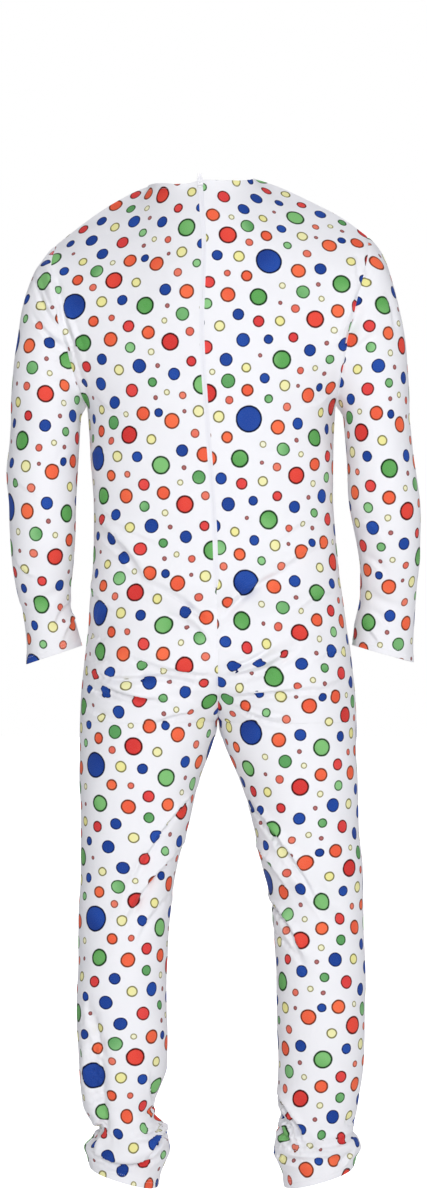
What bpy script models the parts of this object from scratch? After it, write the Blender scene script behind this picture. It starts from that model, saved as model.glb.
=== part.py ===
"""Costume jumpsuit, hollow, in the shape it takes when it is worn.

+X is to the wearer's right, +Y out of the wearer's front and +Z up. The origin is
midway between the two points where the shoulder seams meet the neck opening, which
is where the suit hangs on its wearer. The tables are in millimetres.

Every cloth panel is worked out first as a fine grid of points, its rows running from
the middle of the body to the side seam and its columns from the shoulder to the hem.
The folds push those points in or out, and the wall of each panel is made from a
coarser choice of rows and columns.
"""

import math

import bmesh
import bpy
import numpy as np
from mathutils import Matrix

MM = 0.001

# Cloth, seams and turned hems
CLOTH = 1.5
SEAM_GAP = 0.3
HEM_DEPTH = 20.0
HEM_CLOTH = 2.4
MITRE_LIMIT = 2.0

# Heights of the places where panels meet
ARMPIT_Z = -337.0
CROTCH_Z = -806.0
HEM_Z = -1488.0
HEM_TILT_START_Z = -1380.0

# Neck opening and shoulder seam
NECK_HALF_WIDTH = 81.0
NECK_POINT_Y = 5.0
NECK_BACK = {"y": -75.0, "z": -2.0, "power": 2.0}
NECK_FRONT = {"y": 68.0, "z": -78.0, "power": 1.4}
SHOULDER_POINT = {"x": 236.0, "y": 0.0, "z": -95.0}
SHOULDER_BOW = 7.0
SHOULDER_POWER = 1.12

# The least distance of the cloth from the middle of the body, beside a seam there
LEG_GAP = 1.3

# How far up the body the two halves draw together above the crotch
SEAT_CLEFT = 150.0
FRONT_CLEFT = 105.0

# Squareness of the body and leg sections: 2 is an ellipse
BODY_POWER = 2.45
LEG_POWER = 2.15

# The body and legs, a row for each section of one half: how far the inner and outer
# edges are from the middle of the body, and how far out the front and back reach
HALF_COLUMNS = ("z", "inner", "outer", "front", "back", "seam_y")
RIGHT_HALF = (
    (-337, 0, 187, 120, -127, 0),
    (-420, 0, 181, 117, -122, 0),
    (-480, 0, 179, 114, -116, 0),
    (-540, 0, 182, 113, -114, 0),
    (-600, 0, 187, 114, -120, 0),
    (-660, 0, 193, 114, -131, 0),
    (-720, 0, 202, 112, -132, 0),
    (-780, 0, 207, 110, -118, 0),
    (-806, 0, 208, 108, -110, -2),
    (-840, 9, 208, 106, -104, -3),
    (-900, 34, 209, 100, -97, -4),
    (-960, 52, 211, 94, -90, -3),
    (-1020, 66, 217, 88, -82, 0),
    (-1080, 80, 218, 80, -74, 2),
    (-1140, 85, 219, 71, -76, 0),
    (-1200, 87, 221, 63, -83, -6),
    (-1260, 89, 220, 58, -84, -10),
    (-1320, 90, 217, 55, -78, -10),
    (-1365, 88, 211, 54, -71, -8),
    (-1400, 92, 206, 53, -66, -6),
    (-1424, 87, 201, 57, -62, -4),
    (-1440, 83, 211, 64, -70, -3),
    (-1455, 89, 215, 66, -68, -2),
    (-1470, 96, 208, 64, -62, -1),
    (-1488, 99, 203, 66, -62, 0),
)
LEFT_HALF = (
    (-337, 0, 187, 120, -127, 0),
    (-420, 0, 182, 117, -122, 0),
    (-480, 0, 180, 114, -116, 0),
    (-540, 0, 182, 113, -114, 0),
    (-600, 0, 187, 114, -120, 0),
    (-660, 0, 192, 114, -131, 0),
    (-720, 0, 201, 112, -132, 0),
    (-780, 0, 206, 110, -118, 0),
    (-806, 0, 207, 108, -110, -2),
    (-840, 8, 207, 106, -104, -3),
    (-900, 29, 208, 100, -97, -4),
    (-960, 44, 206, 94, -90, -3),
    (-1020, 60, 206, 88, -82, 0),
    (-1080, 69, 209, 80, -74, 2),
    (-1140, 75, 210, 71, -76, 0),
    (-1200, 77, 212, 63, -83, -6),
    (-1260, 75, 211, 58, -84, -10),
    (-1320, 76, 209, 55, -78, -10),
    (-1365, 90, 205, 54, -71, -8),
    (-1387, 95, 201, 53, -66, -6),
    (-1410, 79, 190, 58, -68, -4),
    (-1424, 75, 180, 62, -72, -3),
    (-1440, 71, 190, 60, -68, -3),
    (-1455, 77, 202, 62, -64, -2),
    (-1470, 84, 197, 64, -60, -1),
    (-1488, 89, 192, 66, -62, 0),
)

# How far the outer side of each leg's hem is lifted by the foot
HEM_RISE = 15.0

# The stance: how far each level is moved sideways, and how far it is turned
STANCE_COLUMNS = ("z", "shift", "turn")
STANCE = (
    (0, -17, -2.0),
    (-60, -8, -4.5),
    (-120, -2, -5.5),
    (-230, -5, -5.0),
    (-337, -3, -3.5),
    (-450, 0, -1.0),
    (-540, 3, 0.0),
    (-660, 6, 0.0),
    (-806, 7.5, 0.0),
    (-1488, 7.5, 0.0),
)

# How much each place on the shoulders is lifted, as the left one hangs lower and flatter
LIFT_COLUMNS = ("x", "lift")
SHOULDER_LIFT = (
    (-262, 10),
    (-231, 2),
    (-190, -3),
    (-150, -5),
    (-107, -5),
    (-50, -1),
    (0, 2),
    (53, 6),
    (100, 7),
    (153, 8),
    (190, 11),
    (215, 12),
    (262, 11),
)
LIFT_FULL_Z = -110.0
LIFT_END_Z = -290.0

# Centre lines of the upper body, from the neck opening to the level of the armpits
PROFILE_COLUMNS = ("z", "y")
BACK_PROFILE = ((-2, -75), (-55, -97), (-120, -117), (-200, -128), (-280, -130), (-337, -127))
FRONT_PROFILE = ((-78, 68), (-120, 88), (-180, 106), (-250, 118), (-300, 121), (-337, 120))

# The armhole, from the shoulder point to the armpit
ARMHOLE_COLUMNS = ("z", "x", "y")
ARMHOLE_BACK = (
    (-95, 236, 0),
    (-118, 237, -34),
    (-160, 231, -62),
    (-215, 219, -75),
    (-270, 205, -66),
    (-312, 194, -38),
    (-337, 187, 0),
)
ARMHOLE_FRONT = (
    (-95, 236, 0),
    (-118, 232, 32),
    (-160, 222, 58),
    (-215, 210, 72),
    (-270, 200, 64),
    (-312, 192, 36),
    (-337, 187, 0),
)

# The sleeves, a row for each section below the armpit. rise is how much higher the
# inner side of the section is than its outer side
SLEEVE_COLUMNS = ("z", "inner", "outer", "y", "half_depth", "rise")
RIGHT_SLEEVE = (
    (-356, 196, 295, -11, 66, 0),
    (-390, 199, 299, -13, 65, 0),
    (-430, 202, 304, -14, 62, 0),
    (-478, 204, 310, -13, 59, 0),
    (-518, 211, 311, -7, 57, 2),
    (-556, 218, 311, 0, 54, 5),
    (-588, 222, 308, 8, 51, 8),
    (-622, 222, 306, 17, 48, 12),
    (-646, 219, 305, 23, 47, 17),
    (-673, 214, 304, 29, 48, 22),
    (-706, 212, 303, 35, 49, 26),
)
LEFT_SLEEVE = (
    (-356, 198, 303, 11, 66, 0),
    (-390, 200, 305, 7, 65, 0),
    (-430, 202, 310, 1, 62, 0),
    (-483, 204, 305, -6, 58, 0),
    (-540, 206, 303, -4, 55, 3),
    (-577, 209, 299, 5, 51, 7),
    (-618, 213, 291, 15, 47, 12),
    (-646, 213, 284, 22, 45, 17),
    (-668, 207, 282, 28, 46, 21),
    (-708, 198, 281, 35, 48, 28),
)
SLEEVE_STANCE = -1.0
CAP_OUT = 1.0
CAP_DOWN = 0.66

# Folds that show from a step away. Each runs between two places on one face of the
# suit, bows sideways by bow, is width across and stands out by height, or in if less
# than 0
FOLD_COLUMNS = ("face", "x0", "z0", "x1", "z1", "bow", "width", "height")
FOLDS = (
    ("back", -168, -505, -40, -590, 12, 30, 4.5),
    ("back", -150, -560, -12, -668, 16, 24, -5.0),
    ("back", -178, -640, -20, -690, 10, 22, 4.0),
    ("back", 150, -555, 20, -625, -10, 26, -4.5),
    ("back", 172, -600, 28, -668, -10, 24, 4.0),
    ("back", -150, -722, -6, -748, 6, 15, -6.0),
    ("back", -178, -742, -30, -772, 6, 15, 5.5),
    ("back", -120, -772, -8, -770, -4, 12, -4.0),
    ("back", 10, -744, 150, -706, 8, 15, -6.0),
    ("back", 16, -724, 165, -668, 10, 16, 5.0),
    ("back", 14, -764, 178, -764, -8, 14, 4.5),
    ("back", 8, -660, 8, -760, 0, 16, -5.0),
    ("back", -272, -150, -205, -300, -10, 22, -7.0),
    ("back", -246, -130, -215, -250, 8, 18, 5.0),
    ("back", 240, -120, 190, -310, 10, 22, -7.0),
    ("back", 222, -150, 178, -290, 6, 18, 5.0),
    ("back", 70, -1000, 180, -1110, -10, 20, 6.0),
    ("back", 92, -1010, 200, -1098, -8, 16, -4.5),
    ("back", 90, -1110, 150, -1160, -4, 16, 4.0),
    ("back", -50, -985, -150, -1105, 10, 20, 6.0),
    ("back", -62, -1020, -120, -1100, 6, 16, -4.5),
    ("back", -176, -1250, -158, -1420, 10, 16, -9.0),
    ("back", -196, -1240, -190, -1380, -4, 18, 5.0),
    ("back", -150, -1424, -62, -1386, 6, 14, -8.0),
    ("back", -165, -1446, -70, -1430, 6, 14, 6.0),
    ("back", 100, -1396, 160, -1452, -6, 14, -7.0),
    ("back", 104, -1455, 214, -1446, 5, 12, -6.0),
    ("back", 96, -1432, 200, -1430, 4, 14, 5.0),
    ("front", -160, -520, -30, -640, 12, 28, 4.5),
    ("front", 165, -540, 30, -650, -12, 28, 4.5),
    ("front", -150, -690, -14, -775, 10, 20, -5.0),
    ("front", 150, -685, 16, -775, -10, 20, -5.0),
    ("front", -165, -745, -20, -795, 6, 18, 4.5),
    ("front", 165, -745, 30, -795, -6, 18, 4.5),
    ("front", -230, -150, -170, -320, -10, 22, -6.0),
    ("front", 226, -150, 168, -320, 10, 22, -6.0),
    ("front", 90, -1030, 190, -1085, -6, 20, -5.0),
    ("front", 95, -1105, 185, -1140, -6, 18, 5.0),
    ("front", -85, -1030, -180, -1090, 6, 20, -5.0),
    ("front", -85, -1110, -180, -1150, 6, 18, 5.0),
    ("front", -180, -1360, -80, -1400, 8, 16, -6.0),
    ("front", -185, -1400, -85, -1436, 8, 15, 6.0),
    ("front", 92, -1360, 196, -1400, -8, 16, -6.0),
    ("front", 92, -1412, 205, -1440, -8, 15, 6.0),
    ("front", 100, -1440, 205, -1466, -8, 12, -5.0),
    ("front", -300, -470, -215, -500, 6, 18, -5.0),
    ("front", 300, -475, 215, -505, -6, 18, -5.0),
    ("front", -300, -510, -215, -530, 6, 16, 4.0),
    ("front", 302, -515, 222, -540, -6, 16, 4.0),
    ("back", -296, -640, -215, -600, 6, 14, -4.0),
    ("back", 300, -640, 226, -612, -6, 14, -4.0),
)

# Where the legs, or the arms and the body, are close together, the folds stay low
CLOSE_LEGS = {"top": -640.0, "low": -1000.0, "room": 45.0}
CLOSE_ARMS = {"top": -250.0, "low": -560.0, "x": 192.0, "room": 26.0}

# Rows and columns of the fine grids, and how many of them the walls keep
FINE_COLUMNS = 36
FINE_UPPER_ROWS = 64
FINE_ROW_STEP = 5.0
FINE_CAP_ROWS = 40
NECK_SHARE = 16.0 / 36.0
EASE_BELOW = 14
EASE_TIMES = 160

WALL_FRONT_COLUMNS = (0, 4, 8, 12, 16, 20, 24, 28, 32, 36)
WALL_BACK_COLUMNS = (0, 1) + WALL_FRONT_COLUMNS[1:]
WALL_UPPER_ROWS = (0, 3, 8, 16, 24, 32, 40, 48, 56, 64)
WALL_CAP_ROWS = 5
WALL_STEPS = ((-337, 34), (-600, 27), (-806, 34), (-1340, 28), (-1380, 13))
WALL_SEAT_ROWS = (0, 5, 10, 15, 20, 25, 30, 36)
WALL_SLEEVE_STEP = 30.0
HEM_ROWS = round(HEM_DEPTH / FINE_ROW_STEP)

# The zip in the centre back seam. The chain ends inside the slider, and the tapes end
# below it, where their ends are turned under the neck edge
ZIP_OPEN_HALF = 3.6
ZIP_END_Z = -612.0
ZIP_CLOSE_LENGTH = 14.0
ZIP_SHUT_WIDTH = 0.6
TAPE_THICK = 1.0
CHAIN_HALF = 2.3
CHAIN_THICK = 1.8
CHAIN_TOP = 8.0

# The slider and the arch on it. top and under are where its plates face the chain
SLIDER = {
    "width": 8.4,
    "height": 12.0,
    "plate": 1.1,
    "top": 1.35,
    "under": -1.1,
    "post": 2.0,
    "post_low": 0.5,
}
CROWN = {"width": 2.0, "length": 7.4, "rise": 2.8, "bar": 0.9}

# The pull tab. Its bar lies under the arch and its eye leaves room for the arch's foot
TAB = {"width": 5.4, "length": 12.0, "thick": 1.0, "bar": 1.0, "eye": 3.2, "eye_length": 4.8}

# How far the boxes of one hard piece run into each other, and how wide its edges are eased
BLOCK_OVERLAP = 0.4
EDGE_EASE = 0.15

COLOURS = {
    "cloth": (0.88, 0.89, 0.93),
    "tape": (0.86, 0.86, 0.88),
    "chain": (0.80, 0.80, 0.82),
    "enamel": (0.82, 0.82, 0.84),
}


def column(table, names, name):
    """One named column of a table."""
    return np.array([row[names.index(name)] for row in table], float)


def smooth_between(at, places, values):
    """A smooth curve through values at places, which run either way, read at the points in at."""
    order = np.argsort(places)
    p, v = np.asarray(places, float)[order], np.asarray(values, float)[order]
    slope = np.diff(v) / np.diff(p)
    tangent = np.empty_like(v)
    tangent[0], tangent[-1] = slope[0], slope[-1]
    inside = slope[:-1] * slope[1:] > 0
    tangent[1:-1] = np.where(inside, 0.5 * (slope[:-1] + slope[1:]), 0.0)
    limit = 2.5 * np.minimum(np.abs(slope[:-1]), np.abs(slope[1:]))
    tangent[1:-1] = np.clip(tangent[1:-1], -limit, limit)
    at = np.clip(np.asarray(at, float), p[0], p[-1])
    i = np.clip(np.searchsorted(p, at, side="right") - 1, 0, len(p) - 2)
    h = p[i + 1] - p[i]
    t = (at - p[i]) / h
    return (
        (2 * t**3 - 3 * t**2 + 1) * v[i]
        + (t**3 - 2 * t**2 + t) * h * tangent[i]
        + (3 * t**2 - 2 * t**3) * v[i + 1]
        + (t**3 - t**2) * h * tangent[i + 1]
    )


def evenly(points, shares):
    """Points at the given shares of the length of a line of points."""
    steps = np.linalg.norm(np.diff(points, axis=0), axis=1)
    run = np.concatenate([[0.0], np.cumsum(steps)])
    run /= run[-1]
    return np.stack([np.interp(shares, run, points[:, k]) for k in range(3)], axis=1)


def stand(points):
    """Points of the straight suit moved into the wearer's stance."""
    z = points[..., 2]
    places = column(STANCE, STANCE_COLUMNS, "z")
    shift = smooth_between(z, places, column(STANCE, STANCE_COLUMNS, "shift"))
    turn = np.radians(smooth_between(z, places, column(STANCE, STANCE_COLUMNS, "turn")))
    x, y = points[..., 0], points[..., 1]
    across = shift + x * np.cos(turn) - y * np.sin(turn)
    beside, lifts = (column(SHOULDER_LIFT, LIFT_COLUMNS, name) for name in LIFT_COLUMNS)
    lift = smooth_between(across, beside, lifts)
    high = np.clip((z - LIFT_END_Z) / (LIFT_FULL_Z - LIFT_END_Z), 0, 1)
    lift = lift * high * high * (3 - 2 * high)
    return np.stack([across, x * np.sin(turn) + y * np.cos(turn), z + lift], axis=-1)


def half_section(table, face, z, shares):
    """A row of one half of the body or leg at height z, from its inner edge to the side seam."""
    places = column(table, HALF_COLUMNS, "z")
    inner, outer, reach, seam_y = (
        float(smooth_between(z, places, column(table, HALF_COLUMNS, name)))
        for name in ("inner", "outer", face, "seam_y")
    )
    above = max(0.0, z - CROTCH_Z)
    cleft = SEAT_CLEFT if face == "back" else FRONT_CLEFT
    start = 0.5 * math.pi * math.sqrt(min(1.0, above / cleft))
    blend = min(1.0, above / SEAT_CLEFT)
    power = LEG_POWER + (BODY_POWER - LEG_POWER) * blend
    # The dense end near the inner edge keeps the tight turn there
    angle = start + (math.pi - start) * np.linspace(0, 1, 181) ** 1.3
    across = np.sign(np.cos(angle)) * np.abs(np.cos(angle)) ** (2 / power)
    out = np.abs(np.sin(angle)) ** (2 / power)
    if z > CROTCH_Z:
        half = outer / (1 + across[0])
        middle = half * across[0]
    else:
        half, middle = (outer - inner) / 2, (outer + inner) / 2
    points = np.stack(
        [middle - half * across, seam_y + (reach - seam_y) * out, np.full_like(angle, z)],
        axis=1,
    )
    points = evenly(points, shares)
    # The two halves stay just apart beside the seam and below it
    seam = points[:1] * (0 if z > CROTCH_Z else 1, 1, 1)
    points[:, 0] = np.maximum(points[:, 0], LEG_GAP)
    if z >= CROTCH_Z:
        points[0] = seam[0]
    return points


def top_edge(face, shares):
    """The neck edge from the middle of the body to the shoulder seam, then that seam."""
    low = NECK_BACK if face == "back" else NECK_FRONT
    angle = np.linspace(0, math.pi / 2, 60)
    neck = np.stack(
        [
            NECK_HALF_WIDTH * np.sin(angle),
            NECK_POINT_Y + (low["y"] - NECK_POINT_Y) * np.cos(angle),
            low["z"] * np.cos(angle) ** low["power"],
        ],
        axis=1,
    )
    t = np.linspace(0, 1, 40)
    shoulder = np.stack(
        [
            NECK_HALF_WIDTH + (SHOULDER_POINT["x"] - NECK_HALF_WIDTH) * t,
            NECK_POINT_Y + (SHOULDER_POINT["y"] - NECK_POINT_Y) * t,
            SHOULDER_POINT["z"] * t**SHOULDER_POWER + SHOULDER_BOW * np.sin(math.pi * t),
        ],
        axis=1,
    )
    on_neck = shares <= NECK_SHARE
    return np.concatenate(
        [
            evenly(neck, shares[on_neck] / NECK_SHARE),
            evenly(shoulder, (shares[~on_neck] - NECK_SHARE) / (1 - NECK_SHARE)),
        ]
    )


def centre_edge(face, shares):
    """The middle of the body, from the neck edge down to the level of the armpits."""
    profile = BACK_PROFILE if face == "back" else FRONT_PROFILE
    z = np.linspace(profile[0][0], ARMPIT_Z, 80)
    y = smooth_between(z, column(profile, PROFILE_COLUMNS, "z"), column(profile, PROFILE_COLUMNS, "y"))
    return evenly(np.stack([0 * z, y, z], axis=1), shares)


def armhole_edge(face, shares):
    """The armhole, from the shoulder point down to the armpit."""
    table = ARMHOLE_BACK if face == "back" else ARMHOLE_FRONT
    corners = np.stack([column(table, ARMHOLE_COLUMNS, name) for name in ("x", "y", "z")], axis=1)
    run = np.concatenate([[0], np.cumsum(np.linalg.norm(np.diff(corners, axis=0), axis=1))])
    fine = np.linspace(0, run[-1], 160)
    line = np.stack([smooth_between(fine, run, corners[:, k]) for k in range(3)], axis=1)
    return evenly(line, shares)


def upper_rows(table, face, shares):
    """The rows above the armpits, filled in between their four edges."""
    v = np.linspace(0, 1, FINE_UPPER_ROWS + 1)[:, None, None]
    u = shares[None, :, None]
    top, bottom = top_edge(face, shares)[None], half_section(table, face, ARMPIT_Z, shares)[None]
    inner = centre_edge(face, v[:, 0, 0])[:, None]
    outer = armhole_edge(face, v[:, 0, 0])[:, None]
    corners = (
        (1 - u) * (1 - v) * top[:, :1]
        + u * (1 - v) * top[:, -1:]
        + (1 - u) * v * bottom[:, :1]
        + u * v * bottom[:, -1:]
    )
    return (1 - v) * top + v * bottom + (1 - u) * inner + u * outer - corners


def lower_heights():
    """Heights of the fine rows below the armpits, closest together just above the crotch."""
    body = np.arange(ARMPIT_Z - FINE_ROW_STEP, CROTCH_Z + SEAT_CLEFT, -FINE_ROW_STEP)
    seat = CROTCH_Z + SEAT_CLEFT * np.linspace(1, 0, 37) ** 1.7
    leg = np.linspace(CROTCH_Z, HEM_Z, round((CROTCH_Z - HEM_Z) / FINE_ROW_STEP) + 1)[1:]
    return np.concatenate([body, seat, leg])


def ease(grid, first, last, times):
    """Evens out the points inside a grid, from row first to row last. Its edges stay."""
    rows = slice(first, last)
    above, below = slice(first - 1, last - 1), slice(first + 1, last + 1)
    for _ in range(times):
        around = grid[above, 1:-1] + grid[below, 1:-1] + grid[rows, :-2] + grid[rows, 2:]
        grid[rows, 1:-1] = 0.5 * grid[rows, 1:-1] + 0.125 * around


def panel_grid(side, face):
    """The fine grid of one front or back panel, without folds. side is 1 on the right and -1 on the left."""
    table = RIGHT_HALF if side > 0 else LEFT_HALF
    shares = np.linspace(0, 1, FINE_COLUMNS + 1)
    upper = upper_rows(table, face, shares)
    lower = np.stack([half_section(table, face, z, shares) for z in lower_heights()])
    grid = np.concatenate([upper, lower])
    # The filled-in rows are eased, so that neither the corner of the neck nor the level of
    # the armpits leaves a line
    ease(grid, 1, FINE_UPPER_ROWS + EASE_BELOW, EASE_TIMES)
    if face == "back":
        open_half = ZIP_OPEN_HALF * np.clip((grid[:, :1, 2] - ZIP_END_Z) / ZIP_CLOSE_LENGTH, 0, 1)
        grid[:, :, 0] += open_half * np.clip(1 - shares[None] / NECK_SHARE, 0, 1) ** 2
    lift = np.clip((HEM_TILT_START_Z - grid[..., 2]) / (HEM_TILT_START_Z - HEM_Z), 0, 1)
    leg = grid[..., 2] < CROTCH_Z
    middle = 0.5 * (grid[:, :1, 0] + grid[:, -1:, 0])
    half = np.maximum(0.5 * (grid[:, -1:, 0] - grid[:, :1, 0]), 1.0)
    grid[..., 2] += np.where(leg, HEM_RISE * lift * (grid[..., 0] - middle) / half, 0.0)
    grid[..., 0] *= side
    return stand(grid)


def sleeve_grid(side, back, front):
    """The fine grid of a sleeve. Its columns start at the shoulder point and go round by the back."""
    upper = FINE_UPPER_ROWS + 1
    ring = np.concatenate([back[:upper, -1], front[: upper - 1, -1][::-1]])
    out = np.concatenate([
        back[:upper, -1] - back[:upper, -3],
        (front[: upper - 1, -1] - front[: upper - 1, -3])[::-1],
    ])
    out /= np.linalg.norm(out, axis=1)[:, None]
    table = RIGHT_SLEEVE if side > 0 else LEFT_SLEEVE
    places = column(table, SLEEVE_COLUMNS, "z")
    share = np.linspace(0, 1, len(ring))
    angle = 2 * math.pi * share

    def section(z):
        inner, outer, y, half_depth, rise = (
            float(smooth_between(z, places, column(table, SLEEVE_COLUMNS, name)))
            for name in ("inner", "outer", "y", "half_depth", "rise")
        )
        half = (outer - inner) / 2
        return np.stack(
            [
                SLEEVE_STANCE + side * ((outer + inner) / 2 + half * np.cos(angle)),
                y - half_depth * np.sin(angle),
                z - 0.5 * rise * np.cos(angle),
            ],
            axis=1,
        )

    first = section(places[0])
    down = np.array([0.0, 0.0, -1.0])
    under = np.sin(math.pi * share)[:, None] ** 4
    start = (1 - under) * out + under * np.array([0.7 * side, 0.0, -0.7])
    start /= np.linalg.norm(start, axis=1)[:, None]
    reach = np.linalg.norm(first - ring, axis=1)[:, None]
    s = np.linspace(0, 1, FINE_CAP_ROWS + 1)[:, None, None]
    cap = (
        (2 * s**3 - 3 * s**2 + 1) * ring
        + (s**3 - 2 * s**2 + s) * start * reach * CAP_DOWN
        + (3 * s**2 - 2 * s**3) * first
        + (s**3 - s**2) * down * reach * CAP_OUT
    )
    arm = [section(z) for z in np.arange(places[0] - FINE_ROW_STEP, places[-1] - 0.01, -FINE_ROW_STEP)]
    arm.append(section(places[-1]))
    return np.concatenate([cap, np.stack(arm)])


def grid_normals(grid, closed):
    """Outward directions at each point of a grid whose rows run across and columns run down."""
    if closed:
        wide = np.concatenate([grid[:, -2:-1], grid, grid[:, 1:2]], axis=1)
        along = wide[:, 2:] - wide[:, :-2]
    else:
        along = np.gradient(grid, axis=1)
    down = np.gradient(grid, axis=0)
    normal = np.cross(along, down)
    return normal / np.maximum(np.linalg.norm(normal, axis=-1, keepdims=True), 1e-9)


def averaged(grids, values):
    """The same values, made equal where two or more panels meet."""
    keys = {name: np.round(grid.reshape(-1, 3) * 20).astype(int) for name, grid in grids.items()}
    sums = {}
    for name, found in keys.items():
        for key, value in zip(map(tuple, found), values[name].reshape(len(found), -1)):
            total, count = sums.get(key, (0, 0))
            sums[key] = (total + value, count + 1)
    means = {key: total / count for key, (total, count) in sums.items()}
    return {
        name: np.array([means[key] for key in map(tuple, found)]).reshape(values[name].shape)
        for name, found in keys.items()
    }


def side_of(name):
    """1 for a piece on the wearer's right, and -1 on the left."""
    return 1 if name.endswith("right") else -1


def outward(grids):
    """Directions out of the cloth, shared along the seams. They are longer where it bends."""
    own = {}
    for name, grid in grids.items():
        turned = -1 if name.startswith("back") else 1
        own[name] = turned * side_of(name) * grid_normals(grid, name.startswith("sleeve"))
        if name.startswith("sleeve"):
            # At the armpit one sleeve meets two body panels, so it counts twice
            own[name][0, grid.shape[1] // 2] *= 2
    normals = averaged(grids, own)
    lengths = {}
    for name, normal in normals.items():
        normal /= np.maximum(np.linalg.norm(normal, axis=-1, keepdims=True), 1e-9)
        own[name] /= np.maximum(np.linalg.norm(own[name], axis=-1, keepdims=True), 1e-9)
        lean = (own[name] * normal).sum(axis=-1, keepdims=True)
        lengths[name] = 1 / np.maximum(lean, 1 / MITRE_LIMIT)
    lengths = averaged(grids, lengths)
    return {name: normal * lengths[name] for name, normal in normals.items()}


def fold_line(fold, surface):
    """The middle of a fold as points on the cloth, seen straight from the front or the back."""
    f = dict(zip(FOLD_COLUMNS, fold))
    t = np.linspace(0, 1, 24)
    start, end = np.array([f["x0"], f["z0"]], float), np.array([f["x1"], f["z1"]], float)
    across = np.array([end[1] - start[1], start[0] - end[0]])
    across /= np.linalg.norm(across)
    flat = start + (end - start) * t[:, None] + across * (f["bow"] * np.sin(math.pi * t))[:, None]
    near = [np.argmin(((surface[:, [0, 2]] - p) ** 2).sum(axis=1)) for p in flat]
    return np.stack([flat[:, 0], surface[near, 1], flat[:, 1]], axis=1), t


def sleeve_face(grid, face):
    """The points on the front or the back half of a sleeve."""
    middle = grid[:, :-1, 1].mean(axis=1)[:, None]
    keep = grid[..., 1] < middle if face == "back" else grid[..., 1] > middle
    return grid[keep]


def face_points(grids, face):
    """A sample of the points on the front or the back of the whole suit."""
    found = []
    for name, grid in grids.items():
        if name.startswith(face):
            found.append(grid.reshape(-1, 3)[::3])
        elif name.startswith("sleeve"):
            found.append(sleeve_face(grid, face)[::3])
    return np.concatenate(found)


def fold_heights(points, faces):
    """How far the folds move each point along its outward direction."""
    height = np.zeros(len(points))
    for fold in FOLDS:
        f = dict(zip(FOLD_COLUMNS, fold))
        line, t = fold_line(fold, faces[f["face"]])
        reach = f["width"] * 2.2
        low, high = line.min(axis=0) - reach, line.max(axis=0) + reach
        near = np.flatnonzero(((points > low) & (points < high)).all(axis=1))
        if not len(near):
            continue
        gap = np.linalg.norm(points[near, None] - line[None], axis=2)
        nearest = gap.argmin(axis=1)
        distance = gap[np.arange(len(near)), nearest]
        taper = np.sin(math.pi * np.clip(t[nearest], 0.04, 0.96)) ** 0.6
        height[near] += f["height"] * taper * np.exp(-((distance / (0.6 * f["width"])) ** 2))
    # The folds die away where the two legs, or a sleeve and the body, come close together
    places = column(STANCE, STANCE_COLUMNS, "z")
    middle = smooth_between(points[:, 2], places, column(STANCE, STANCE_COLUMNS, "shift"))
    from_middle = np.abs(points[:, 0] - middle)
    between_legs = (points[:, 2] < CLOSE_LEGS["top"]) & (points[:, 2] > CLOSE_LEGS["low"])
    room = np.where(between_legs, np.clip(from_middle / CLOSE_LEGS["room"], 0, 1), 1.0)
    beside = np.abs(from_middle - CLOSE_ARMS["x"]) < CLOSE_ARMS["room"]
    under_arm = (points[:, 2] < CLOSE_ARMS["top"]) & (points[:, 2] > CLOSE_ARMS["low"]) & beside
    near_arm = np.clip(np.abs(from_middle - CLOSE_ARMS["x"]) / CLOSE_ARMS["room"], 0.25, 1)
    return height * room**2 * np.where(under_arm, near_arm, 1.0)


def all_grids():
    """The fine grids of all the cloth panels, with their folds."""
    grids = {}
    for word, side in (("left", -1), ("right", 1)):
        back, front = panel_grid(side, "back"), panel_grid(side, "front")
        grids["back_" + word], grids["front_" + word] = back, front
        grids["sleeve_" + word] = sleeve_grid(side, back, front)
    out = outward(grids)
    faces = {face: face_points(grids, face) for face in ("front", "back")}
    folded = {}
    for name, grid in grids.items():
        height = fold_heights(grid.reshape(-1, 3), faces).reshape(grid.shape[:2])
        direction = out[name] / np.linalg.norm(out[name], axis=-1, keepdims=True)
        folded[name] = grid + direction * height[..., None]
    return folded


def kept(heights, first, last, start):
    """Rows from first to last that are about one step of the wall apart, counted from height start."""
    rows, z = [], start
    for i in range(first, last):
        step = [s for top, s in WALL_STEPS if z <= top][-1]
        if z - heights[i] >= step - 0.5:
            rows.append(i)
            z = heights[i]
    return rows


def panel_rows():
    """Which fine rows of a front or back panel its wall keeps."""
    heights = lower_heights()
    seat = int(np.argmin(np.abs(heights - CROTCH_Z - SEAT_CLEFT)))
    crotch = int(np.argmin(np.abs(heights - CROTCH_Z)))
    last = len(heights) - 1
    lower = kept(heights, 0, seat - 2, ARMPIT_Z) + [seat + k for k in WALL_SEAT_ROWS]
    lower += kept(heights, crotch + 1, last - HEM_ROWS - 1, CROTCH_Z) + [last - HEM_ROWS, last]
    return np.concatenate([WALL_UPPER_ROWS, FINE_UPPER_ROWS + 1 + np.array(lower)])


def coarse(name, grid):
    """The rows and columns of a panel that its wall is made from."""
    if not name.startswith("sleeve"):
        columns = WALL_BACK_COLUMNS if name.startswith("back") else WALL_FRONT_COLUMNS
        return grid[panel_rows()][:, columns]
    cap = np.linspace(0, FINE_CAP_ROWS, WALL_CAP_ROWS + 1).round().astype(int)
    step = round(WALL_SLEEVE_STEP / FINE_ROW_STEP)
    last = len(grid) - 1
    arm = np.arange(FINE_CAP_ROWS + step, last - HEM_ROWS - step // 2, step)
    rows = np.unique(np.concatenate([cap, arm, [last - HEM_ROWS, last]]))
    by_back = np.array(WALL_UPPER_ROWS)
    by_front = grid.shape[1] - 1 - by_back[-2::-1]
    return grid[rows][:, np.concatenate([by_back, by_front])]


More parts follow.
